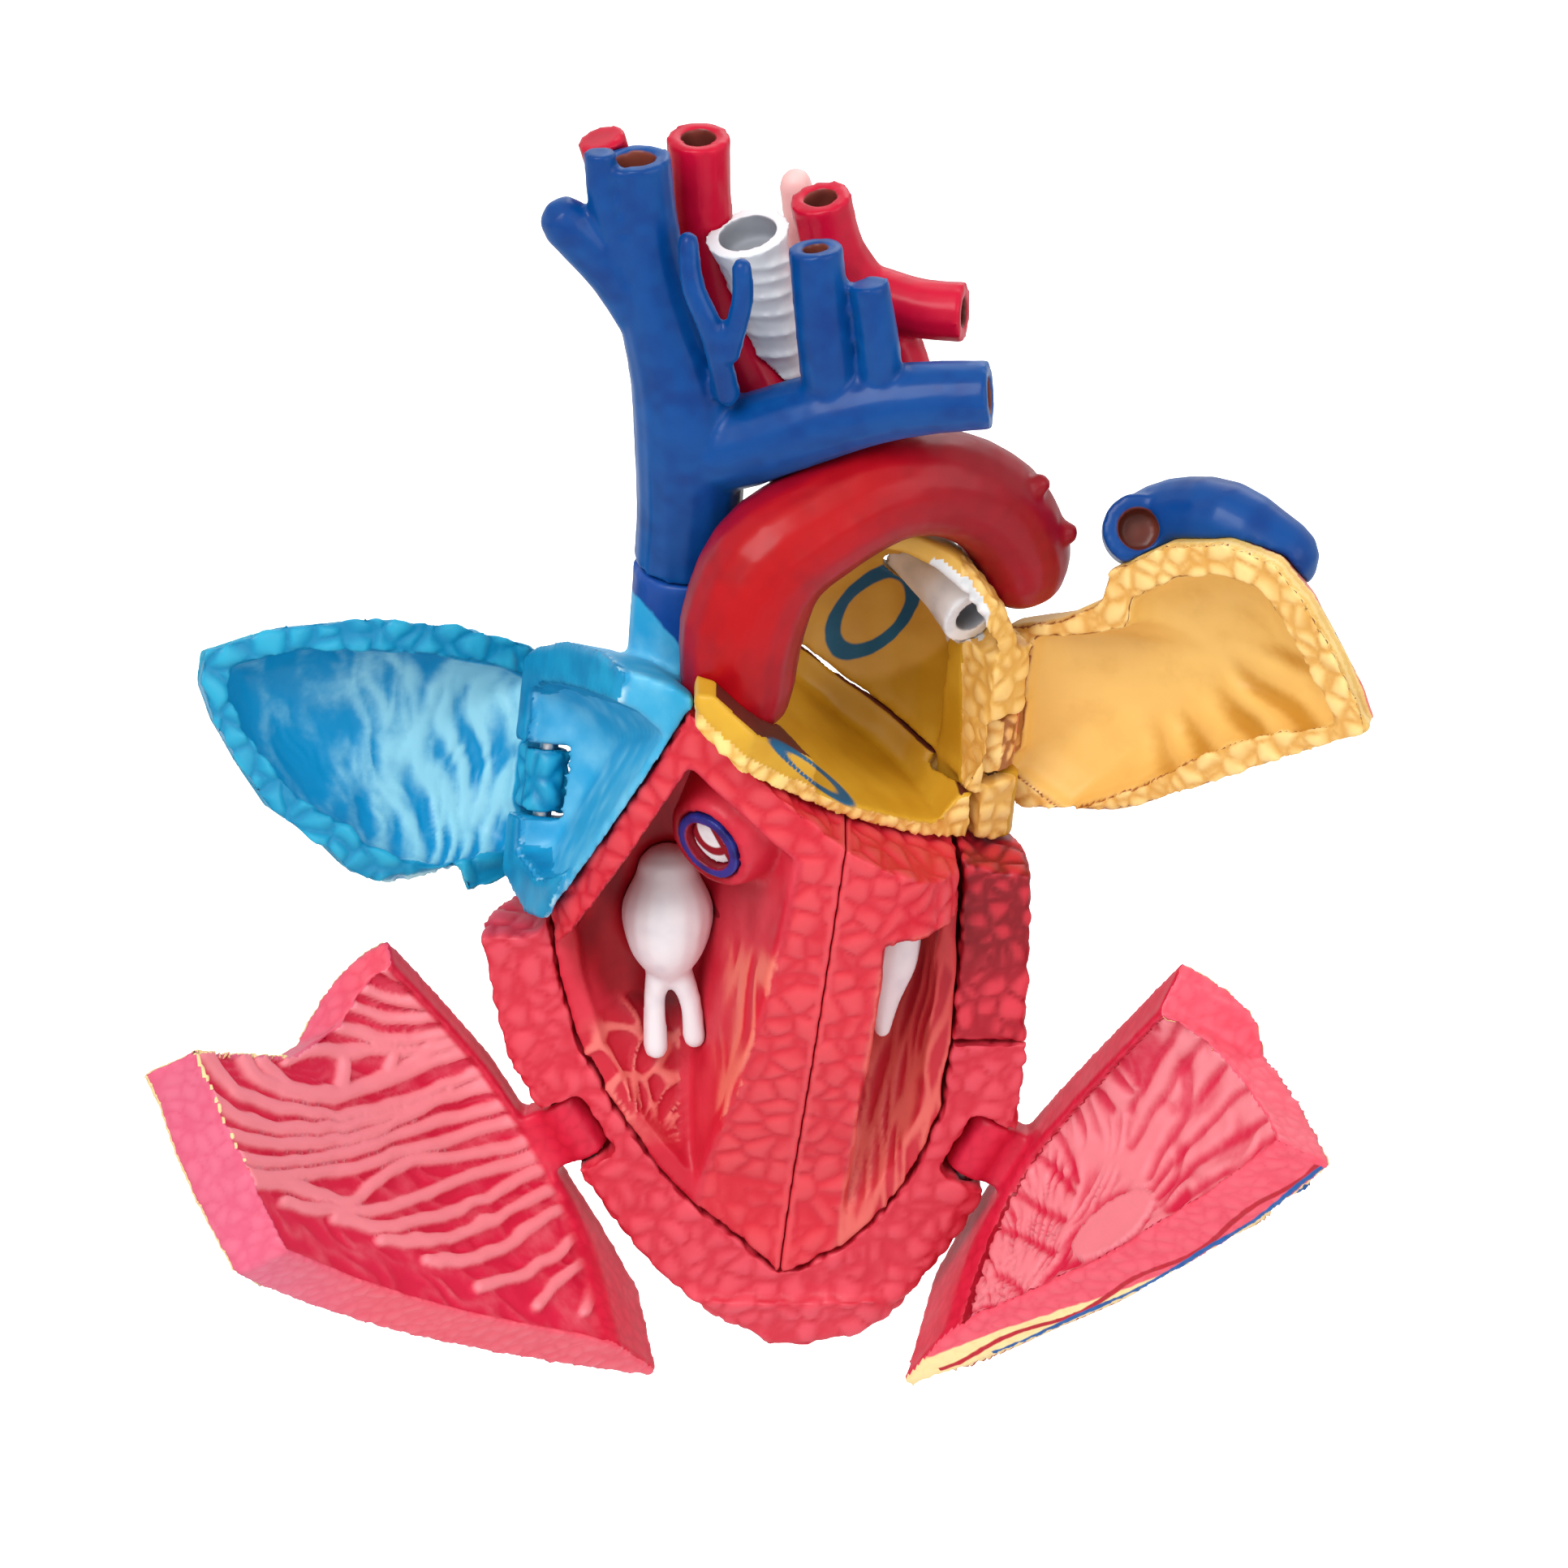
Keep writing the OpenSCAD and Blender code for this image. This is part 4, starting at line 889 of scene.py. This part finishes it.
def leaflet_look(p, n, place):
    a, b = place
    lines = 0.28 - np.abs((a + 8.6) + 0.55 * (b - 55.6))
    rim = 0.3 - np.abs(oval(a, b, (-8.7, 55.6), (1.7, 2.5), 28))
    dent = 0.5 + 0.5 * noise(p, 0.9, 55)
    return 0.05 * (1 - dent), {"relief": dent, "lines": np.maximum(lines, rim)}


# Beside the septum's seam and this far behind the front surface, the doors carry no fat.
FAT_FREE_WIDTH = 9
FAT_FREE_DEPTH = 2.5


def ventricle_door_look(body, relief_of, seam_line=None):
    """The ridges in a ventricle door, its cut face beside the seam, its rim and its outside."""
    side = HINGE[body][3]
    middle = (-16 * side, 2, 40)

    def look(p, n, place):
        a, b = place
        shut = turned(p, body)
        shut_n = turned_ways(n, body)
        x, y, z = shut.T
        outside = np.einsum("ij,ij->i", shut - np.array(middle), shut_n) > 0
        roof_cut = np.where(outside & (shut_n[:, 2] > 0.4), 1.0, -1.0)
        band = np.maximum(0.7 - np.abs(seam_side(shut) + side * 0.2), roof_cut)
        rim = np.where(roof_cut > 0, -1, y + 1.1)
        outside = np.where(outside & (band < 0.1) & (rim < 0.2), 1.0, -1.0)
        depth = y + FRONT_D * np.interp(z, *zip(*FRONT_SHARE))
        ridge = relief_of(a, b, p)
        cobble = 0.45 + 0.55 * pebbles(p, 1.7, 9, 0.9)
        flat = step(np.maximum(band, rim), -0.1, 0.4)
        out = step(outside, -0.5, 0.5)
        fibre = muscle_outside(shut)
        beside_seam = (outside < 0) & (band > 0.1) & (roof_cut < 0)
        on_edge = np.where(beside_seam, edge_fat(depth, z, body), -5)
        fat = np.where(outside > 0, door_fat(shut, body), on_edge)
        near_seam = np.abs(seam_side(shut)) < FAT_FREE_WIDTH
        fat = np.where((outside > 0) & near_seam & (depth > FAT_FREE_DEPTH), -5, fat)
        artery = np.where(outside > 0, coronary(x, z, FRONT_ARTERIES), -5)
        vein = np.where(outside > 0, coronary(x, z, FRONT_VEINS, 0.6), -5)
        if body == "lv_door":
            wave = 0.5 * np.sin(z / 2.6)
            artery = np.where(beside_seam & (z > 11), 0.3 - np.abs(depth - 1.5 - wave), artery)
            vein = np.where(beside_seam & (z > 17), 0.34 - np.abs(depth - 0.5 + 0.3 * wave), vein)
        relief = blend(blend(ridge, cobble, flat), fibre, out)
        raised = 0.25 * step(fat, 0, 1.2) + 0.45 * step(np.maximum(artery, vein), -0.2, 0.4)
        smooth_rim = step(rim, -0.1, 0.4) * (1 - step(band, -0.1, 0.4))
        in_door = blend(1 - ridge, 0.3 * (1 - cobble) * (1 - smooth_rim), flat)
        cut = blend(in_door, 0.2 * (1 - fibre) - raised, out)
        coral = np.where(band > 0, (a + 50) * 0.5 if side > 0 else 4.0, -9)
        seam = seam_line(flat) if seam_line else np.full(len(a), -9.0)
        return cut, {"relief": relief, "band": np.where(outside > 0, -1, band), "coral": coral,
                     "rim": np.where(band > 0.3, -1, rim), "outside": outside, "fat": fat, "seam": seam,
                     "artery": artery, "vein": vein}
    return look


def edge_fat(depth, z, body):
    """The fat that shows along the outer edge of the left door's cut face, widest near the apex."""
    if body == "rv_door":
        return np.full(len(z), -5.0)
    return 3.4 * (1 - step(z, 16, 50)) - depth - 0.1


def door_fat(shut, body):
    """Fat along the vessels in front of the septum and under the atria, on the outside of a shut door."""
    near = lines_distance(shut[:, 0], shut[:, 2], [FRONT_ARTERIES[0], FRONT_VEINS[0]])
    upper = shut[:, 2] - np.minimum(roof_z(shut[:, 0]), 60) + 1.5
    lumps = 1.2 * noise(shut, 5, 43) + 0.5 * noise(shut, 2, 44)
    return np.maximum((2.4 if body == "lv_door" else 0) - near, upper) + lumps


# The ridges in the right ventricle door, in the front view, listed downwards.
RIGHT_DOOR_RIDGES = [
    [(-43.3, 40.9), (-39.4, 39.5), (-34.8, 39.4)],
    [(-45.6, 39.1), (-41.6, 37.3), (-37.1, 36.7), (-34.2, 37.5)],
    [(-47.9, 38.3), (-44.5, 36), (-39.9, 35.4), (-33.1, 36.7)],
    [(-50.4, 36.1), (-46.2, 34.4), (-40.5, 33.2), (-32.6, 35.1)],
    [(-53.8, 34.1), (-50.1, 32.6), (-45, 32.6), (-39.4, 32), (-31.7, 34.1)],
    [(-55.2, 32), (-52.4, 29), (-47.9, 28.2), (-42.8, 29.6), (-38.2, 32)],
    [(-52.7, 31.6), (-49.6, 32.3), (-47, 31.9), (-47.2, 29)],
    [(-47, 31.9), (-43.9, 32.6), (-42.2, 31.9), (-42.9, 29.3)],
    [(-57.5, 33.2), (-55.2, 29.9), (-50.1, 27.6), (-43.9, 28.6), (-38.2, 30.9), (-31.4, 32.7)],
    [(-60.3, 32.6), (-57.5, 29), (-51.8, 26.4), (-45.6, 25.9), (-39.4, 27.7), (-30.8, 30.6)],
    [(-63.7, 32), (-60.3, 28.6), (-55.2, 25.4), (-49, 24.4), (-43.3, 25.4), (-37.1, 27.3), (-29.7, 29)],
    [(-63.2, 28.2), (-58.6, 24.8), (-51.8, 23.1), (-45, 23.5), (-40.5, 25.5), (-34.8, 27.6),
     (-28.3, 27.9)],
    [(-62.6, 24.8), (-57.5, 22.2), (-50.7, 21.3), (-43.9, 22.6), (-37.1, 24.8), (-27.5, 26.5)],
    [(-59.8, 22), (-54.1, 20), (-47.3, 20.1), (-40.5, 21.8), (-32.6, 23.9), (-26.6, 24.5)],
    [(-56.1, 19.7), (-50.7, 18.6), (-46.2, 16.9), (-43.3, 19.1), (-39.4, 20.9), (-32.6, 21.4),
     (-25.8, 22.8)],
    [(-52.4, 17.3), (-46.2, 16), (-40.5, 16.7), (-33.7, 19.1), (-24.9, 21.4)],
    [(-47.3, 15.3), (-41.6, 14.3), (-34.8, 15.6), (-29.2, 18.6), (-23.8, 20.3)],
    [(-42.8, 13), (-37.1, 12.7), (-31.4, 14.5), (-26.9, 16.9), (-22.7, 18.8)],
    [(-38.2, 10.6), (-33.1, 10.7), (-28.6, 12.8), (-25.2, 15.3), (-21.8, 16.9)],
    [(-32.6, 7.8), (-28, 8.9), (-24.1, 11.5), (-21, 14.6)],
    [(-26.9, 5.8), (-24.1, 8.4), (-20.7, 10.1), (-18.4, 12.3)],
    [(-21.8, 4.7), (-20.7, 7.8), (-17.6, 10.9)],
    [(-17.8, 4.4), (-17.8, 7.8), (-16.4, 9.2)],
    [(-15, 4.4), (-15.9, 6.4), (-15.3, 8.4)],
]
# The middle of the arcs of its fine ridges.
RIGHT_DOOR_FAN = (-70.5, 32.7)
# The furrows between the broad muscles in the left ventricle door, and the beads along its seam.
LEFT_DOOR_FURROWS = [
    [(29.9, 39.6), (32.3, 36.7), (33.2, 33.4), (35.1, 29.6)],
    [(28.3, 36.5), (31.1, 33.2), (33.2, 29.8), (35.1, 27.7)],
    [(27.3, 31), (30.4, 28.4), (33.2, 25.8)],
    [(32.3, 41.4), (34.7, 36.7), (35.1, 32), (35.7, 28.7)],
    [(35.1, 42.6), (37, 38.1), (37.7, 34.3)],
    [(38.5, 43.3), (38.5, 39.1), (38.3, 36.2)],
    [(40.8, 37.2), (39.4, 33.4), (37, 29.6), (35.1, 25.8)],
    [(42.8, 33.6), (39.9, 29.8), (37.3, 25.8), (35.1, 22.1)],
    [(44.8, 31), (41.7, 27.2), (38.9, 23), (36.8, 19.2)],
    [(46.6, 28.4), (43.6, 25.4), (39.9, 21.6), (37, 18)],
    [(48.4, 25.8), (44.6, 23), (40.8, 20.2), (37.7, 17.1)],
    [(49.5, 23.9), (45.5, 20.9), (41.5, 18), (38.4, 15.9)],
    [(25.7, 25.4), (28, 22.1), (29.7, 18.5)],
    [(24.2, 21.6), (26.6, 19.7), (29.2, 17.3)],
    [(22.9, 17.1), (25.7, 15.4), (28, 14.5)],
    [(22.1, 13.1), (24.7, 12.1), (26.6, 11.2)],
    [(21, 8.6), (23.1, 7.4), (24.3, 5.8)],
    [(27.8, 10.2), (25.7, 7.4), (24.5, 4.6)],
    [(35.1, 17.3), (32.3, 16.4), (29.5, 13.6), (27.6, 9.8)],
    [(37, 16.4), (35.1, 13.1), (31.4, 10.7), (27.6, 9.8)],
]
LEFT_DOOR_BEADS = [(46.9, 17.8), (41.5, 13.6), (36.1, 10.7), (31.4, 8.4), (27.6, 5.5), (23.3, 3.6),
                   (19.5, 3.9)]
# The corner from which its muscles spread, and the middle of its papillary muscle.
LEFT_DOOR_FAN = (21.3, 3.0)
PAPILLA_AT = (33.2, 14.2)


def right_door_ridges(a, b, p):
    """Ridges that hang in long arcs across the door, and branch round pits near the top."""
    bent_a = a + 0.35 * noise(p, 3, 61)
    bent_b = b + 0.35 * noise(p, 3, 62)
    ridge = crest(lines_distance(bent_a, bent_b, RIGHT_DOOR_RIDGES), 1.05, 0.25)
    r, angle = fan(a, b, RIGHT_DOOR_FAN)
    fine = strands(r, angle + 2 * noise(p, 4, 63), 8, 2.8, 64, 0.7)
    return np.maximum(ridge, 0.32 * fine)


def left_door_ridges(a, b, p):
    """Broad muscles that spread from the lower corner to the upper edges, and a papillary muscle."""
    bent_a = a + 0.3 * noise(p, 3, 71)
    bent_b = b + 0.3 * noise(p, 3, 72)
    furrow = crest(lines_distance(bent_a, bent_b, LEFT_DOOR_FURROWS), 0.8, 0.05)
    r, angle = fan(a, b, LEFT_DOOR_FAN)
    fine = strands(r, angle - 0.0188 * (angle - 35) * r + 2 * noise(p, 4, 73), 7, 2.2, 74, 0.7)
    ridge = (0.3 + 0.6 * fine) * (1 - 0.6 * furrow)
    papilla = oval(a, b, PAPILLA_AT, (5.2, 1.9), 40)
    ridge = np.where(papilla > 0, 1.0, ridge)
    for bead in LEFT_DOOR_BEADS:
        within = oval(a, b, bead, (1.9, 1.1), 36)
        ridge = np.where(within > -0.3, 0.75 * step(np.abs(within), 0.0, 0.35) + 0.25 * fine, ridge)
    return ridge


def left_door_seam(flat):
    """The dark line between the cut face of the left ventricle door and its inside."""
    return np.where((flat > 0.02) & (flat < 0.6), 0.3, -1.0)


# In the front view, the points from which the folds in the atrium doors spread.
RIGHT_ATRIUM_FAN = (-39, 36)
LEFT_ATRIUM_FAN = (30.7, 84.5)


def right_atrium_door_look(p, n, place):
    a, b = place
    shut = turned(p, "ra_door")
    shut_n = turned_ways(n, "ra_door")
    out = door_place(shut, "ra_door")[2]
    outward = door_place(shut_n + np.array(HINGE["ra_door"][0]), "ra_door")[2]
    rim = 1.0 - (out - 3.9)
    inside = np.where((outward < 0.2) & (rim < 0.4), 1.0, -1.0)
    outside = np.where(outward > 0.3, 1.0, -1.0)
    r, angle = fan(a, b, RIGHT_ATRIUM_FAN)
    ridge = strands(r, angle + 4 * noise(p, 6, 81), 12, 6.5, 82, 0.8)
    thin = strands(r, angle + 3 * noise(p, 4, 83), 6, 3.0, 84, 0.8)
    ridge = 0.75 * ridge + 0.25 * thin
    ridge *= 0.55 + 0.45 * step(a, -50, -38)
    cobble = pebbles(p, 3.0, 10)
    flat = step(rim, 0, 0.6) * (1 - step(outward, 0.2, 0.5))
    dent = 0.5 + 0.5 * noise(p, 3.4, 85)
    out_mask = step(outside, -0.5, 0.5)
    relief = blend(blend(ridge, cobble, flat), dent, out_mask)
    in_door = blend(0.7 * (1 - ridge), 0.5 * (1 - cobble), flat)
    cut = blend(in_door, 0.3 * (1 - dent), out_mask)
    return cut, {"relief": relief, "inside": inside, "outside": outside}


def left_atrium_door_look(p, n, place):
    a, b = place
    shut = turned(p, "la_door")
    shut_n = turned_ways(n, "la_door")
    across, up, out = door_place(shut, "la_door")
    outward = -door_place(shut_n + np.array(HINGE["la_door"][0]), "la_door")[2]
    depth = -out
    rim = 1.0 - (depth - 3.4)
    inside = np.where((outward < 0.2) & (rim < 0.4), 1.0, -1.0)
    outside = np.where(outward > 0.35, 1.0, -1.0)
    r, angle = fan(a, b, LEFT_ATRIUM_FAN)
    folds = 0.5 + 0.5 * np.cos(np.radians(angle) * 34 + 2.2 * noise(p, 7, 91))
    fold_at = step(r, 17, 24) * step(-angle, 22, 34) * (1 - step(-angle, 66, 78))
    cobble = pebbles(p, 2.5, 11)
    flat = step(rim, 0, 0.6) * (1 - step(outward, 0.2, 0.5))
    edge_face = (outward > -0.6) & (outside < 0) & (inside < 0)
    brown = np.where(edge_face & ((up < 4) | (across < 11)), 1.0, -1.0)
    dent = 0.5 + 0.5 * noise(p, 3, 92)
    out_mask = step(outside, -0.5, 0.5)
    relief = blend(blend(0.55 + 0.35 * dent, folds, fold_at), cobble, flat)
    relief = blend(relief, muscle_outside(shut), out_mask)
    in_door = blend(0.9 * (1 - folds) * fold_at, 0.4 * (1 - cobble), flat)
    cut = blend(in_door, 0.2 * (1 - dent), out_mask)
    cream = np.where(outside > 0, 3.5 - np.abs(up - 21) + noise(p, 4, 93), -4)
    vein = np.where(outside > 0, 0.5 - np.abs(across - 34 - np.sin(up / 3)), -4)
    artery = np.where(outside > 0, 0.4 - np.abs(across - 37 - np.sin(up / 3)), -4)
    groove = np.where((inside < 0) & (outside < 0), 0.22 - np.abs(rim - 0.4), -4)
    return cut, {"relief": relief, "inside": inside, "outside": outside, "brown": brown, "cream": cream,
                 "groove": groove, "vein": vein, "artery": artery}


def pulmonary_look(p, n, place):
    shut = turned(p, "la_door")
    across, up, out = door_place(shut, "la_door")
    local = np.stack([across, up, out + 3], 1)
    dent = 0.5 + 0.5 * noise(p, 3, 95)
    # The edge value, lowered here, paints a paler blue sheen where the artery turns away from the front.
    return 0.08 * (1 - dent), {"relief": dent, "edge_light_shade": turned_light_shade(n) - 1.0,
                               "hole": hole_distance(local, [PULMONARY_MOUTH_DOOR])}


skin("rear_shell", shell_look, shell_paint, 0.5, 60)
skin("rear_wall_panel", shell_look, panel_paint, 0.45, 60)
skin("right_ventricle_insert", right_insert_look, right_paint, 0.42, 80, insert_cap)
skin("left_ventricle_insert", left_insert_look, left_paint, 0.42, 80, insert_cap)
skin("tricuspid_valve", plain_look(), white_paint, 0.35, 40, 0.4)
skin("mitral_valve", plain_look(), white_paint, 0.3, 40, 0.4)
skin("pulmonary_valve_ring", ring_look, ring_paint, 0.2, 10, 0.1)
skin("pulmonary_valve", leaflet_look, leaflet_paint, 0.15, 10, 0.1)
skin("right_atrium_body", right_atrium_look, atrium_paint, 0.42, 50)
skin("left_atrium_floor", atrium_floor_look, floor_paint, 0.42, 40)
skin("left_atrium_back", atrium_back_look, back_paint, 0.42, 50)
skin("aorta_arch", vessel_look(seed=20, dark_from=12.0), artery_paint, 0.4, 60, 0.5)
skin("descending_aorta", vessel_look(seed=22), maroon_paint, 0.4, 40, 0.4)
skin("neck_arteries", vessel_look(ARTERY_MOUTHS, 24), neck_artery_paint, 0.36, 30, 0.4)
skin("vena_cava", vessel_look(CAVA_MOUTHS, 26), vein_paint, 0.36, 30, 0.4)
skin("windpipe", windpipe_look, windpipe_paint, 0.3, 10, 0.2)
skin("left_bronchus", bronchus_look, windpipe_paint, 0.3, 20, 0.3)
skin("gullet", plain_look(0.15), gullet_paint, 0.35, 30, 0.3)
skin("right_ventricle_door", ventricle_door_look("rv_door", right_door_ridges), door_paint, 0.42, 60)
skin("left_ventricle_door", ventricle_door_look("lv_door", left_door_ridges, left_door_seam),
     door_paint, 0.42, 60)
skin("right_atrium_door", right_atrium_door_look, teal_paint, 0.4, 60)
skin("left_atrium_door", left_atrium_door_look, ochre_door_paint, 0.4, 60)
skin("pulmonary_artery", pulmonary_look, vein_paint, 0.36, 40, 0.4)


# ---- Pins -------------------------------------------------------------------------------------

def steel():
    material = bpy.data.materials.new("Drawn wire")
    material.use_nodes = True
    nodes = Nodes(material.node_tree)
    shader = material.node_tree.nodes["Principled BSDF"]
    place = nodes.put('ShaderNodeTexCoord').outputs["Object"]
    streak = nodes.put('ShaderNodeTexNoise', {"Vector": place, "Scale": 2400.0, "Detail": 3.0})
    tone = nodes.mix(streak.outputs[0], paint(150, 152, 156), paint(206, 208, 212))
    nodes.link(tone, shader.inputs["Base Color"])
    shine = nodes.math('ADD', nodes.math('MULTIPLY', streak.outputs[0], 0.2), 0.22)
    nodes.link(shine, shader.inputs["Roughness"])
    shader.inputs["Metallic"].default_value = 1.0
    return material


wire = steel()
for node in ("rv_hinge_pin", "lv_hinge_pin", "ra_hinge_pin", "la_hinge_pin"):
    data = frame["nodes"][node].data
    data.materials.clear()
    data.materials.append(wire)
peg_paint = painted("Peg red", [(None, (190, 30, 50), (210, 50, 70), {"relief": "none"})])
frame["nodes"]["locating_pegs"].data.materials.clear()
frame["nodes"]["locating_pegs"].data.materials.append(peg_paint)


# ---- Studio -----------------------------------------------------------------------------------

# In metres: the floor's half width, and how far it lies below the heart, so that the shadow on it
# falls outside the picture.
FLOOR_HALF = 6
FLOOR_DROP = 0.25
# Each lamp's place and watts, the lamps' size, and the point that they shine at.
LAMPS = (("key", (-0.5, -0.9, 1.1), 14.0), ("fill", (0.9, -0.7, 0.5), 4.0), ("rear", (0.3, 1.0, 0.9), 4.0))
LAMP_SIZE = 0.8
LAMP_AIM = (0, 0, 0.06)


def studio():
    scene = bpy.context.scene
    scene.view_settings.view_transform = 'Standard'
    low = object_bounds()[0]
    bm = bmesh.new()
    bmesh.ops.create_grid(bm, x_segments=1, y_segments=1, size=FLOOR_HALF)
    floor_mesh = bpy.data.meshes.new("floor")
    bm.to_mesh(floor_mesh)
    bm.free()
    floor = bpy.data.objects.new("floor", floor_mesh)
    floor.location = (0, 0, low[2] - FLOOR_DROP)
    scene.collection.objects.link(floor)
    chalk = bpy.data.materials.new("Pale floor")
    chalk.use_nodes = True
    chalk_nodes = Nodes(chalk.node_tree)
    chalk_shader = chalk.node_tree.nodes["Principled BSDF"]
    chalk_shader.inputs["Base Color"].default_value = (0.9, 0.9, 0.9, 1)
    chalk_shader.inputs["Roughness"].default_value = 0.9
    chalk_shader.inputs["Specular IOR Level"].default_value = 0.1
    chalk_shader.inputs["Emission Color"].default_value = (1, 1, 1, 1)
    seen_floor = chalk_nodes.put('ShaderNodeLightPath').outputs["Is Camera Ray"]
    chalk_nodes.link(seen_floor, chalk_shader.inputs["Emission Strength"])
    floor_mesh.materials.append(chalk)

    world = bpy.data.worlds.new("Soft room")
    world.use_nodes = True
    scene.world = world
    nodes = Nodes(world.node_tree)
    sky = world.node_tree.nodes["Background"]
    rays = nodes.put('ShaderNodeLightPath').outputs
    seen = nodes.math('MAXIMUM', rays["Is Camera Ray"], rays["Is Transmission Ray"])
    seen = nodes.math('MAXIMUM', seen, rays["Is Glossy Ray"])
    strength = nodes.math('ADD', nodes.math('MULTIPLY', seen, 0.4), 0.6)
    nodes.link(strength, sky.inputs["Strength"])
    sky.inputs["Color"].default_value = (1, 1, 1, 1)

    for name, place, watts in LAMPS:
        lamp = bpy.data.lights.new(name, 'AREA')
        lamp.size = LAMP_SIZE
        lamp.energy = watts
        holder = bpy.data.objects.new(name, lamp)
        holder.location = place
        holder.rotation_euler = (Vector(LAMP_AIM) - Vector(place)).to_track_quat('-Z', 'Y').to_euler()
        scene.collection.objects.link(holder)

    camera_data = bpy.data.cameras.new("camera")
    camera_data.angle = 2 * math.atan(PHOTO_SPAN * MM / 2 / VIEW_DISTANCE)
    camera_data.clip_start = 0.01
    camera = bpy.data.objects.new("camera", camera_data)
    e = math.radians(VIEW_ELEVATION)
    target = Vector((PHOTO_CENTRE[0], -SOCKET_BEHIND_RIM, PHOTO_CENTRE[1] / math.cos(e))) * MM
    camera.location = target + Vector((0, -math.cos(e), math.sin(e))) * VIEW_DISTANCE
    camera.rotation_euler = (math.pi / 2 - e, 0, 0)
    scene.collection.objects.link(camera)
    scene.camera = camera


studio()
